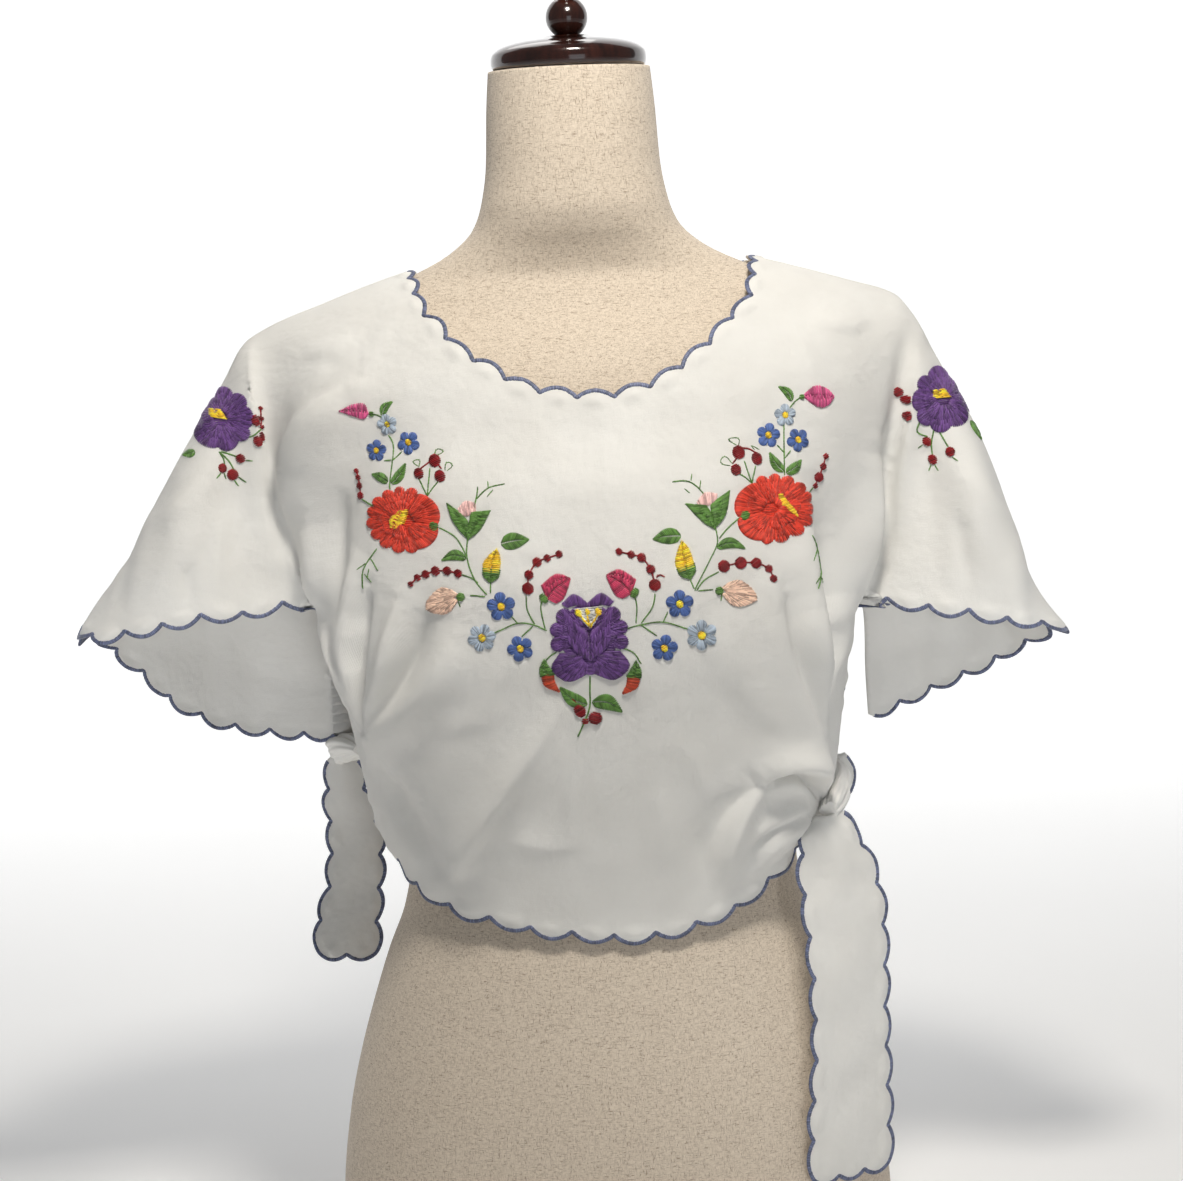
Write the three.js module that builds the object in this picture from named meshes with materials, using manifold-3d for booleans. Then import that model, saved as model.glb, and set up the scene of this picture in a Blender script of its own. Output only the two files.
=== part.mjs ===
// A short-sleeved, embroidered folk blouse worn by a limbless dress form.
//
// The blouse is two T-shaped panels, front and back, each with its sleeve halves cut in one. They meet
// along the shoulders and the tops of the arms, and hang open down both sides, where their corners are
// tied in a knot at the waist. Every free edge is scalloped.
//
// Millimetres, +Z up, +X to the viewer's right, the front facing -Y. The origin is the centre of the
// dress form's flat base.

import * as THREE from 'three';
import { ConvexHull } from 'three/addons/math/ConvexHull.js';
import { mergeVertices } from 'three/addons/utils/BufferGeometryUtils.js';
import Module from 'manifold-3d';

const { clamp, lerp, smoothstep } = THREE.MathUtils;

// ---------------------------------------------------------------- driving dimensions

const CLOTH_WALL = 1.6;
const SEAM_GAP = 0.3;
const FRONT_MESH = 15;       // spacing of the points inside a panel
const BACK_MESH = 17;
const TIE_MESH = 11;
const SCALLOP_DEPTH = 5.5;
const NECK_SCALLOP_DEPTH = 4.5;
const SIDE_SCALLOP_DEPTH = 3;
const TIE_SCALLOP_DEPTH = 4;
const BODY_PITCH = 26;       // one scallop of the body's edges
const SLEEVE_PITCH = 23;
const NECK_PITCH = 22;
const TIE_PITCH = 24;
const NECK_LEFT = -107;      // ends of the neck opening on the ridge
const NECK_RIGHT = 112;
const FRONT_TIP_LEFT = -322; // ends of the sleeves on the ridge
const FRONT_TIP_RIGHT = 298;
const BACK_TIP_LEFT = -328;
const BACK_TIP_RIGHT = 303;
const CAP_RADIUS = 48;
const CAP_BOTTOM = 758;
const CAP_TOP = 778;
const BALL_RADIUS = 13;
const BALL_TURN = 1.01;      // radians of the ball's profile above and below its middle
const FINIAL_TOP = 845;

// ---------------------------------------------------------------- tables

function table(columns, rows) {
  const names = columns.split(' ');
  return Object.fromEntries(names.map((name, i) => [name, rows.map((row) => row[i])]));
}

// The line along shoulders and overarms where front and back panels meet, seen from the front.
const RIDGE = table('x z y', [
  [-328, 410, 4], [-322, 424, 4], [-309, 443, 4], [-289, 466, 4], [-268, 503, 3], [-244, 540, 3],
  [-225, 573, 4], [-206, 601, 5], [-156, 622, 8], [-108, 638, 8], [-60, 650, 6], [0, 655, 5],
  [60, 650, 6], [112, 638, 8], [170, 621, 8], [196, 612, 7], [208, 598, 5], [219, 576, 4],
  [235, 544, 3], [247, 518, 3], [259, 486, 3], [270, 445, 3], [281, 422, 3], [304, 392, 3],
]);

// Level sections of the cloth on the body: half widths, depth, and the two powers of their curve.
const FRONT_SECTIONS = table('z left right depth flat edge', [
  [180, 118, 118, 94, 2.4, 2.4], [235, 126, 126, 95, 2.4, 2.4], [269, 131, 133, 102, 2.4, 2.4],
  [287, 139, 141, 107, 2.4, 2.4], [316, 146, 148, 114, 2.5, 2.5], [346, 151, 152, 121, 2.6, 2.6],
  [382, 158, 157, 128, 2.6, 2.6], [410, 165, 162, 133, 2.7, 2.4], [440, 173, 169, 135, 2.7, 1.8],
  [500, 188, 186, 121, 2.7, 1.3], [545, 198, 201, 98, 2.7, 1.3], [600, 206, 207, 80, 2.6, 1.4],
  [660, 206, 207, 74, 2.4, 1.4],
]);
const BACK_SECTIONS = table('z left right depth flat edge', [
  [180, 120, 120, 92, 2.4, 2.4], [235, 126, 126, 92, 2.4, 2.4], [269, 133, 135, 92, 2.4, 2.4],
  [300, 142, 144, 94, 2.4, 2.4], [346, 150, 152, 98, 2.5, 2.5], [400, 158, 160, 102, 2.6, 2.6],
  [440, 172, 170, 106, 2.7, 1.8], [500, 188, 186, 107, 2.7, 1.3], [545, 198, 201, 102, 2.7, 1.3],
  [600, 206, 207, 87, 2.6, 1.4], [660, 206, 207, 77, 2.4, 1.4],
]);

// Where the hollow between body and sleeve runs, as a distance from the middle at each height.
const ARMPIT = table('z left right', [
  [380, 172, 162], [440, 190, 176], [545, 201, 203], [600, 205, 207], [660, 206, 208],
]);

// Level sections of the dress form: half width, depth to the front, depth to the back, power.
const FORM_SECTIONS = table('z width front back centre power', [
  [0, 178, 112, 118, 0, 2.2], [60, 175, 112, 120, 0, 2.2], [111, 168, 110, 117, 0, 2.2],
  [145, 160, 106, 110, 0, 2.2], [178, 150, 100, 101, 0, 2.2], [210, 139, 94, 91, 0, 2.2],
  [240, 127, 88, 84, 0, 2.2], [262, 123, 86, 81, 0, 2.2], [290, 126, 89, 82, 0, 2.2],
  [330, 134, 98, 86, 0, 2.2], [380, 143, 111, 92, 0, 2.2], [420, 150, 121, 96, 0, 2.2],
  [450, 157, 123, 98, 0, 2.2], [485, 166, 115, 98, 0, 2.2], [520, 173, 101, 95, 0, 2.2],
  [550, 179, 88, 89, 0, 2.2], [575, 183, 75, 80, 1, 2.2], [592, 182, 64, 70, 3, 2.2],
  [603, 172, 56, 61, 5, 2.2], [613, 155, 50, 55, 7, 2.2], [624, 132, 45, 50, 8, 2.2],
  [634, 107, 41, 46, 8, 2.2], [648, 79, 42, 47, 5, 2.2], [662, 64, 46, 50, 2, 2.2],
  [677, 58, 48, 51, 0, 2.2], [700, 54, 48, 50, 0, 2.1], [735, 52, 47, 49, 0, 2.1],
  [757.7, 50, 46, 48, 0, 2.1],
]);

// Edges of the panels, seen from the front: distance from the middle measured round the cloth, height.
const FRONT_NECK = table('s z', [
  [-107, 638], [-97, 618], [-86, 606], [-74, 592], [-54, 579], [-34, 568], [-7, 562], [18, 561],
  [43, 567], [62, 578], [79, 591], [92, 604], [105, 618], [112, 638],
]);
const BACK_NECK = table('s z', [
  [-107, 638], [-92, 628], [-62, 618], [0, 612], [62, 618], [92, 628], [112, 638],
]);
const FRONT_HEM = table('s z', [
  [200, 318], [192, 300], [170, 289], [147, 287], [124, 282], [113, 270], [98, 259], [79, 247],
  [58, 240], [35, 235], [9, 234], [-16, 237], [-41, 240], [-65, 246], [-87, 250], [-103, 257],
  [-126, 267], [-150, 283], [-180, 302], [-200, 322], [-208, 340],
]);
const BACK_HEM = table('s z', [
  [160, 318], [150, 290], [120, 262], [80, 245], [0, 236], [-80, 246], [-120, 264], [-150, 296],
  [-160, 334],
]);
const FRONT_SIDE_RIGHT = table('s z', [
  [166, 412], [172, 404], [184, 394], [200, 380], [205, 362], [203, 340], [200, 318],
]);
const FRONT_SIDE_LEFT = table('s z', [
  [-208, 340], [-212, 358], [-213, 378], [-206, 396], [-190, 409], [-177, 420], [-171, 431],
]);
const BACK_SIDE_RIGHT = table('s z', [[166, 420], [158, 400], [156, 372], [158, 345], [160, 318]]);
const BACK_SIDE_LEFT = table('s z', [[-160, 334], [-157, 360], [-157, 400], [-164, 424]]);
const FRONT_SLEEVE_RIGHT = table('s z', [
  [298, 398], [281, 405], [257, 411], [233, 417], [209, 420], [186, 424], [172, 422], [166, 412],
]);
const FRONT_SLEEVE_LEFT = table('s z', [
  [-171, 431], [-180, 438], [-198, 437], [-214, 434], [-237, 435], [-260, 431], [-284, 427], [-308, 423],
  [-322, 423],
]);
const BACK_SLEEVE_RIGHT = table('s z', [
  [303, 394], [289, 388], [271, 377], [249, 366], [228, 358], [208, 350], [190, 345], [175, 342],
]);
const BACK_SLEEVE_LEFT = table('s z', [
  [-173, 347], [-190, 345], [-205, 345], [-223, 346], [-245, 351], [-264, 360], [-279, 370], [-287, 380],
  [-302, 394], [-314, 408], [-328, 411],
]);
const BACK_FLAP_RIGHT = table('s z', [[175, 342], [174, 370], [174, 400], [172, 416], [166, 420]]);
const BACK_FLAP_LEFT = table('s z', [[-164, 424], [-171, 420], [-173, 400], [-173, 370], [-173, 347]]);

// Largest folds: start, middle and end seen from the front, reach to each side, height off the cloth.
// A reach is measured to the left or the right of the run from start to end.
const FRONT_FOLDS = table('s0 z0 s1 z1 s2 z2 left right height', [
  [-201, 604, -203, 530, -199, 445, 10, 11, 3], [-127, 577, -186, 556, -193, 468, 11, 13, 5],
  [-142, 562, -190, 520, -172, 482, 13, 10, 5], [-172, 492, -168, 430, -146, 358, 14, 10, 6],
  [-106, 551, -160, 520, -157, 450, 12, 12, -4], [-157, 450, -155, 400, -146, 358, 10, 10, -4],
  [-131, 474, -160, 430, -149, 358, 10, 9, 4], [-116, 449, -122, 415, -146, 360, 9, 9, 4],
  [-92, 442, -104, 410, -134, 376, 12, 14, -6], [-86, 437, -92, 395, -146, 352, 18, 10, 6],
  [-139, 334, -118, 322, -96, 272, 10, 12, -4], [-16, 369, -62, 330, -95, 268, 13, 10, 4],
  [201, 605, 200, 560, 184, 500, 10, 10, 3], [184, 515, 170, 480, 157, 428, 9, 14, 5],
  [134, 492, 152, 470, 150, 438, 10, 10, -4], [107, 437, 130, 385, 146, 330, 10, 11, -4],
  [122, 440, 142, 390, 148, 335, 9, 9, 4], [143, 309, 122, 340, 90, 327, 9, 16, 8],
  [92, 329, 74, 315, 72, 256, 10, 16, 5], [138, 306, 115, 316, 93, 305, 9, 9, -4],
  [138, 302, 112, 303, 84, 282, 13, 9, 5], [-232, 575, -255, 500, -262, 430, 13, 15, 4],
  [-214, 545, -222, 490, -228, 436, 10, 10, -3], [222, 565, 240, 490, 247, 414, 15, 13, 4],
  [206, 540, 212, 480, 215, 420, 10, 10, -3],
]);
const BACK_FOLDS = table('s0 z0 s1 z1 s2 z2 left right height', [
  [-156, 338, -118, 372, -62, 424, 12, 16, 5], [-154, 330, -104, 344, -48, 362, 16, 12, 5],
  [-140, 322, -112, 310, -88, 268, 12, 13, -4], [156, 322, 122, 352, 74, 396, 16, 12, 5],
  [154, 314, 108, 326, 58, 334, 12, 16, 4], [138, 304, 116, 296, 96, 266, 13, 12, -4],
  [-164, 430, -158, 482, -112, 548, 13, 14, 5], [-148, 440, -138, 492, -92, 540, 12, 12, -4],
  [163, 426, 158, 470, 118, 530, 14, 13, 5], [150, 440, 140, 484, 104, 520, 12, 12, -4],
  [-12, 560, -18, 450, -6, 350, 20, 18, 3], [-238, 560, -256, 470, -250, 362, 15, 14, 5],
  [-212, 520, -222, 430, -214, 350, 12, 12, -3], [240, 550, 250, 460, 240, 370, 14, 15, 5],
  [212, 520, 218, 430, 210, 352, 12, 12, -3],
]);

// Hanging ties: both edges at each height, and how far the middle bows out.
const TIE_RIGHT = table('z x0 y0 x1 y1 bow', [
  [72, 117, -94, 172, -64, -3], [110, 118, -94, 173, -64, -4], [160, 122, -92, 173, -62, -5],
  [200, 123, -89, 174, -60, -5], [235, 123, -82, 174, -56, -6], [262, 123, -74, 169, -50, -7],
  [284, 127, -70, 158, -50, -8], [297, 134, -62, 150, -48, -8],
]);
const TIE_LEFT = table('z x0 y0 x1 y1 bow', [
  [190, -194, 60, -149, 50, -3], [214, -192, 62, -147, 50, -4], [240, -184, 63, -144, 51, -5],
  [272, -181, 62, -142, 52, -6], [296, -182, 60, -148, 52, -7], [326, -178, 56, -156, 50, -7],
]);
const TIE_END = table('z x0 y0 x1 y1 bow', [
  [291, 152, 24, 166, 34, -2], [304, 152, 22, 165, 33, -2], [319, 151, 20, 160, 30, -2],
]);

// Knots: a gathered roll of cloth from the front panel's corner to the back panel's corner.
const KNOT_LEFT = table('x y z radius', [
  [-150, -12, 341, 5], [-153, -4, 341, 9], [-158, 8, 340, 12], [-164, 22, 337, 13], [-166, 36, 334, 12],
  [-162, 48, 331, 10], [-156, 56, 330, 6],
]);
const KNOT_RIGHT = table('x y z radius', [
  [141, -61, 299, 7], [145, -49, 301, 11], [151, -32, 303, 12], [157, -12, 306, 12], [158, 8, 308, 11],
  [154, 24, 312, 9], [148, 36, 316, 6],
]);

// ---------------------------------------------------------------- curves

/** Monotone cubic curve through a table's columns. */
function curveAt(keys, values, at) {
  const last = keys.length - 1;
  const x = clamp(at, keys[0], keys[last]);
  let i = 0;
  while (i < last - 1 && x > keys[i + 1]) i += 1;
  const slope = (k) => (values[k + 1] - values[k]) / (keys[k + 1] - keys[k]);
  const tangent = (k) => {
    if (k === 0) return slope(0);
    if (k === last) return slope(last - 1);
    const before = slope(k - 1);
    const after = slope(k);
    return before * after <= 0 ? 0 : (2 * before * after) / (before + after);
  };
  const h = keys[i + 1] - keys[i];
  const t = (x - keys[i]) / h;
  const u = 1 - t;
  return u * u * (1 + 2 * t) * values[i] + t * t * (3 - 2 * t) * values[i + 1]
    + h * t * u * (u * tangent(i) - t * tangent(i + 1));
}

/** The larger of two depths, rounded where they cross. */
function softMax(a, b, rounding) {
  return (a + b + Math.hypot(a - b, rounding)) / 2;
}

// ---------------------------------------------------------------- the cloth's surface

const SHOULDER_DROP = { body: 90, sleeve: 70 };   // height in which the cloth turns down from the ridge
const SLEEVE_DEPTH = { front: 46, back: 56 };
const ARMPIT_DEPTH = 22;
const WRAP_START = 0.86;                          // share of the half width where the side turns away
const WRAP_END = 1.75;                            // furthest turn, radians from facing the viewer
const NO_WRAP = 300;                              // moves the turn beyond the cloth's reach
const UNDERARM_STRETCH = 2.4;                     // how much faster the side turns below the sleeve
const DEPTH_ROUNDING = 20;                        // where the body's cloth meets the sleeve's
const RIDGE_FADE = 25;                            // folds fade out towards the ridge
const CORNER = { start: 172, end: 192 };          // where a panel's side turns into its loose corner

function shoulderDrop(s) {
  return lerp(SHOULDER_DROP.body, SHOULDER_DROP.sleeve, smoothstep(Math.abs(s), 100, 200));
}

/** Height of a front-view point along the cloth, which turns over the ridge in a quarter ellipse. */
function toClothHeight(s, z) {
  const ridge = curveAt(RIDGE.x, RIDGE.z, s);
  const drop = shoulderDrop(s);
  const below = Math.max(ridge - z, 0);
  const run = below < drop ? drop * Math.acos(1 - below / drop) : below + drop * (Math.PI / 2 - 1);
  return ridge - run;
}

/** Depth of the cloth in front of (or behind) the middle plane, away from the ridge. */
function clothDepth(side, x, z) {
  const { sections } = side;
  const half = x < 0 ? sections.left : sections.right;
  const width = curveAt(sections.z, half, z);
  const flat = curveAt(sections.z, sections.flat, z);
  const edge = curveAt(sections.z, sections.edge, z);
  const t = clamp(Math.abs(x) / width, 0, 1);
  const body = curveAt(sections.z, sections.depth, z) * (1 - t ** flat) ** (1 / edge);
  const hollow = curveAt(ARMPIT.z, x < 0 ? ARMPIT.left : ARMPIT.right, z);
  const outward = smoothstep(Math.abs(x), hollow - 5, hollow + 55);
  const sleeve = lerp(ARMPIT_DEPTH, side.sleeveDepth, outward);
  const underarm = x < 0 ? side.underarm.left : side.underarm.right;
  const onSleeve = smoothstep(z, underarm - 30, underarm) * smoothstep(Math.abs(x), 120, 160);
  const outside = smoothstep(Math.abs(x), side.flapStart - 4, side.flapStart);
  return lerp(body, softMax(body, sleeve, DEPTH_ROUNDING), Math.max(onSleeve, outside));
}

/** Middle of the cloth's wall, without folds. */
function plainPoint(side, s, height) {
  const ridge = curveAt(RIDGE.x, RIDGE.z, s);
  const drop = shoulderDrop(s);
  const run = Math.max(ridge - height, 0);
  const turn = Math.min(run / drop, Math.PI / 2);
  const z = ridge - drop * (1 - Math.cos(turn)) - Math.max(run - drop * Math.PI / 2, 0);
  const width = curveAt(side.sections.z, s < 0 ? side.sections.left : side.sections.right, z);
  const underarm = s < 0 ? side.underarm.left : side.underarm.right;
  const onFlap = Math.abs(s) > side.flapStart - 2;
  const pastCorner = smoothstep(Math.abs(s), CORNER.start, CORNER.end);
  const freedFrom = underarm - lerp(4, 16, pastCorner);
  const freedTo = underarm + lerp(14, -9, pastCorner);
  const freed = smoothstep(z, freedFrom, freedTo);
  const wrapFrom = WRAP_START * width + NO_WRAP * (onFlap ? 1 : freed);
  const stretch = lerp(1, UNDERARM_STRETCH, smoothstep(z, underarm - 32, underarm));
  const sign = Math.sign(s);
  if (Math.abs(s) <= wrapFrom) {
    const ridgeY = curveAt(RIDGE.x, RIDGE.y, s);
    const depth = clothDepth(side, s, z) * Math.sin(turn);
    return new THREE.Vector3(s, side.sign * (SEAM_GAP / 2 + depth) + ridgeY * (1 - Math.sin(turn)), z);
  }
  const depth = clothDepth(side, sign * wrapFrom, z);
  const slope = depth - clothDepth(side, sign * (wrapFrom + 1), z);
  const start = Math.atan(slope);
  const shoulder = WRAP_START * width;
  const atShoulder = clothDepth(side, sign * shoulder, z) - clothDepth(side, sign * (shoulder + 1), z);
  const radius = (width - shoulder) / (1 - Math.sin(Math.atan(atShoulder)));
  const beyond = (Math.abs(s) - wrapFrom) * stretch;
  const angle = Math.min(start + beyond / radius, WRAP_END);
  const rest = beyond - radius * (angle - start);
  const x = wrapFrom + radius * (Math.sin(angle) - Math.sin(start)) + rest * Math.cos(angle);
  const back = radius * (Math.cos(start) - Math.cos(angle)) + rest * Math.sin(angle);
  return new THREE.Vector3(sign * x, side.sign * (SEAM_GAP / 2 + depth - back), z);
}

/** Unit normal of a surface function, pointing out of the garment. */
function normalOf(surface, s, height, outward) {
  const step = 0.5;
  const across = surface(s + step, height).sub(surface(s - step, height));
  const up = surface(s, height + step).sub(surface(s, height - step));
  return across.cross(up).normalize().multiplyScalar(outward);
}

/** How far the folds lift the cloth at a front-view point. */
function foldLift(folds, s, z) {
  let lift = 0;
  const { s0, z0, s1, z1, s2, z2, left, right, height } = folds;
  for (let k = 0; k < s0.length; k += 1) {
    const steps = 10;
    let nearest = Infinity;
    let side = 0;
    let place = 0;
    let px = s0[k];
    let pz = z0[k];
    for (let i = 1; i <= steps; i += 1) {
      const t = i / steps;
      const qx = (1 - t) ** 2 * s0[k] + 2 * t * (1 - t) * s1[k] + t * t * s2[k];
      const qz = (1 - t) ** 2 * z0[k] + 2 * t * (1 - t) * z1[k] + t * t * z2[k];
      const dx = qx - px;
      const dz = qz - pz;
      const along = clamp(((s - px) * dx + (z - pz) * dz) / (dx * dx + dz * dz), 0, 1);
      const ox = s - px - along * dx;
      const oz = z - pz - along * dz;
      const distance = Math.hypot(ox, oz);
      if (distance < nearest) {
        nearest = distance;
        side = Math.sign(dx * oz - dz * ox);
        place = (i - 1 + along) / steps;
      }
      px = qx;
      pz = qz;
    }
    const reach = side > 0 ? left[k] : right[k];
    const taper = Math.sin(Math.PI * clamp(place, 0.03, 0.97)) ** 0.7;
    lift += height[k] * taper * Math.exp(-((nearest / reach) ** 2));
  }
  return lift;
}

/** The cloth's surface function for one side, with its folds. */
function clothSurface(side) {
  const plain = (s, height) => plainPoint(side, s, height);
  return (s, height) => {
    const point = plain(s, height);
    const fromRidge = smoothstep(curveAt(RIDGE.x, RIDGE.z, s) - height, 0, RIDGE_FADE);
    const lift = fromRidge * foldLift(side.folds, s, point.z);
    return lift === 0 ? point : point.addScaledVector(normalOf(plain, s, height, -side.sign), lift);
  };
}

// ---------------------------------------------------------------- outlines and shells

const ARC_STEPS = 4;         // points on one scallop
const PLAIN_STEP = 13;       // spacing along an edge without scallops
const RIDGE_STEP = 9;

/**
 * Points of one edge of a panel. With a pitch it is scalloped, its arcs bulging to the left of its run.
 * All of them move the same way by grow.
 */
function edgePoints(rows, place, grow, pitch = 0, depth = SCALLOP_DEPTH) {
  const spline = new THREE.SplineCurve(rows.s.map((s, i) => place(s, rows.z[i])));
  const length = spline.getLength();
  const arcs = pitch ? Math.max(1, Math.round(length / pitch)) : 0;
  const steps = pitch ? arcs * ARC_STEPS : Math.ceil(length / PLAIN_STEP);
  const points = [];
  for (let i = 0; i < steps; i += 1) {
    const u = i / steps;
    const point = spline.getPointAt(u);
    const run = spline.getTangentAt(u);
    const bulge = grow + (pitch ? depth * Math.abs(Math.sin(Math.PI * arcs * u)) ** 0.8 : 0);
    points.push(new THREE.Vector2(point.x - run.y * bulge, point.y + run.x * bulge));
  }
  return points;
}

function isInside(outline, x, y) {
  let inside = false;
  outline.forEach((a, i) => {
    const b = outline[(i + 1) % outline.length];
    if ((a.y > y) !== (b.y > y) && x < a.x + ((y - a.y) * (b.x - a.x)) / (b.y - a.y)) inside = !inside;
  });
  return inside;
}

/** Points on an even triangular lattice inside the outline, clear of its edge. */
function latticePoints(outline, spacing) {
  const box = new THREE.Box2().setFromPoints(outline);
  const rise = spacing * Math.sqrt(0.75);
  const points = [];
  for (let row = 0; box.min.y + row * rise < box.max.y; row += 1) {
    const y = box.min.y + (row + 0.5) * rise;
    for (let x = box.min.x + (row % 2 ? spacing / 2 : 0); x < box.max.x; x += spacing) {
      const clear = outline.every((p) => Math.hypot(p.x - x, p.y - y) > spacing * 0.55);
      if (clear && isInside(outline, x, y)) points.push(new THREE.Vector2(x, y));
    }
  }
  return points;
}

/** Delaunay triangles of an outline: the lower hull of its points lifted onto a paraboloid. */
function triangulate(outline, spacing) {
  const points = [...outline, ...latticePoints(outline, spacing)];
  const centre = new THREE.Box2().setFromPoints(points).getCenter(new THREE.Vector2());
  const lifted = points.map((p) => new THREE.Vector3(p.x, p.y, p.distanceToSquared(centre) / 300));
  const index = new Map(lifted.map((p, i) => [p, i]));
  const triangles = [];
  for (const face of new ConvexHull().setFromPoints(lifted).faces) {
    const corners = [face.edge.prev, face.edge, face.edge.next].map((edge) => index.get(edge.head().point));
    const [a, b, c] = corners.map((i) => points[i]);
    const area = (b.x - a.x) * (c.y - a.y) - (b.y - a.y) * (c.x - a.x);
    const x = (a.x + b.x + c.x) / 3;
    const y = (a.y + b.y + c.y) / 3;
    if (face.normal.z < 0 && Math.abs(area) > 1e-6 && isInside(outline, x, y)) {
      triangles.push(area > 0 ? corners : [corners[0], corners[2], corners[1]]);
    }
  }
  return { points, triangles };
}

/**
 * Closed wall on a surface; outward is +1 where (across x up) points out of the garment. With a margin it
 * is the space that its neighbours keep clear of.
 */
function shell(outline, spacing, surface, outward, margin) {
  const { points, triangles } = triangulate(outline(0), spacing);
  outline(margin).forEach((point, i) => { points[i] = point; });
  const thickness = CLOTH_WALL + 2 * margin;
  const vertices = [];
  for (const level of [thickness / 2, -thickness / 2]) {
    for (const { x, y } of points) {
      vertices.push(...surface(x, y).addScaledVector(normalOf(surface, x, y, outward), level));
    }
  }
  const far = points.length;
  const faces = [];
  const open = new Map();
  for (const [a, b, c] of triangles) {
    faces.push([a, b, c], [a + far, c + far, b + far]);
    for (const [from, to] of [[a, b], [b, c], [c, a]]) {
      if (!open.delete(`${to} ${from}`)) open.set(`${from} ${to}`, [from, to]);
    }
  }
  for (const [from, to] of open.values()) {
    faces.push([to, from, from + far], [to, from + far, to + far]);
  }
  const geometry = new THREE.BufferGeometry();
  geometry.setAttribute('position', new THREE.Float32BufferAttribute(vertices, 3));
  geometry.setIndex((outward > 0 ? faces : faces.map(([a, b, c]) => [a, c, b])).flat());
  return geometry;
}

/** Closed solid through rings of equal point counts, capped flat at both ends. */
function loft(rings) {
  const count = rings[0].length;
  const vertices = rings.flat().flatMap((p) => [p.x, p.y, p.z]);
  const faces = [];
  for (let r = 0; r < rings.length - 1; r += 1) {
    for (let i = 0; i < count; i += 1) {
      const next = (i + 1) % count;
      const a = r * count + i;
      const b = r * count + next;
      const c = b + count;
      const d = a + count;
      faces.push(a, b, c, a, c, d);
    }
  }
  const last = (rings.length - 1) * count;
  for (let i = 1; i < count - 1; i += 1) {
    faces.push(0, i + 1, i, last, last + i, last + i + 1);
  }
  const geometry = new THREE.BufferGeometry();
  geometry.setAttribute('position', new THREE.Float32BufferAttribute(vertices, 3));
  geometry.setIndex(faces);
  return geometry;
}

// ---------------------------------------------------------------- panels, ties and knots

/** Ridge points exactly on the ridge's curve, so that front and back panels meet evenly. */
function ridgePoints(from, to) {
  const steps = Math.ceil((to - from) / RIDGE_STEP);
  return Array.from({ length: steps }, (_, i) => {
    const x = lerp(from, to, i / steps);
    return new THREE.Vector2(x, curveAt(RIDGE.x, RIDGE.z, x));
  });
}

const onCloth = (s, z) => new THREE.Vector2(s, toClothHeight(s, z));

function frontOutline(grow) {
  return [
    ...ridgePoints(FRONT_TIP_LEFT, NECK_LEFT),
    ...edgePoints(FRONT_NECK, onCloth, grow, NECK_PITCH, NECK_SCALLOP_DEPTH),
    ...ridgePoints(NECK_RIGHT, FRONT_TIP_RIGHT),
    ...edgePoints(FRONT_SLEEVE_RIGHT, onCloth, grow, SLEEVE_PITCH),
    ...edgePoints(FRONT_SIDE_RIGHT, onCloth, grow, BODY_PITCH),
    ...edgePoints(FRONT_HEM, onCloth, grow, BODY_PITCH),
    ...edgePoints(FRONT_SIDE_LEFT, onCloth, grow, BODY_PITCH),
    ...edgePoints(FRONT_SLEEVE_LEFT, onCloth, grow, SLEEVE_PITCH),
  ];
}

function backOutline(grow) {
  return [
    ...ridgePoints(BACK_TIP_LEFT, NECK_LEFT),
    ...edgePoints(BACK_NECK, onCloth, grow, NECK_PITCH, NECK_SCALLOP_DEPTH),
    ...ridgePoints(NECK_RIGHT, BACK_TIP_RIGHT),
    ...edgePoints(BACK_SLEEVE_RIGHT, onCloth, grow, SLEEVE_PITCH),
    ...edgePoints(BACK_FLAP_RIGHT, onCloth, grow),
    ...edgePoints(BACK_SIDE_RIGHT, onCloth, grow, BODY_PITCH, SIDE_SCALLOP_DEPTH),
    ...edgePoints(BACK_HEM, onCloth, grow, BODY_PITCH),
    ...edgePoints(BACK_SIDE_LEFT, onCloth, grow, BODY_PITCH, SIDE_SCALLOP_DEPTH),
    ...edgePoints(BACK_FLAP_LEFT, onCloth, grow),
    ...edgePoints(BACK_SLEEVE_LEFT, onCloth, grow, SLEEVE_PITCH),
  ];
}

const FRONT = {
  sign: -1, sections: FRONT_SECTIONS, sleeveDepth: SLEEVE_DEPTH.front, folds: FRONT_FOLDS,
  underarm: { left: 430, right: 412 }, flapStart: 226, outline: frontOutline, spacing: FRONT_MESH,
};
const BACK = {
  sign: 1, sections: BACK_SECTIONS, sleeveDepth: SLEEVE_DEPTH.back, folds: BACK_FOLDS,
  underarm: { left: 424, right: 420 }, flapStart: 170, outline: backOutline, spacing: BACK_MESH,
};

function panel(side, margin = 0) {
  return shell(side.outline, side.spacing, clothSurface(side), -side.sign, margin);
}

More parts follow.
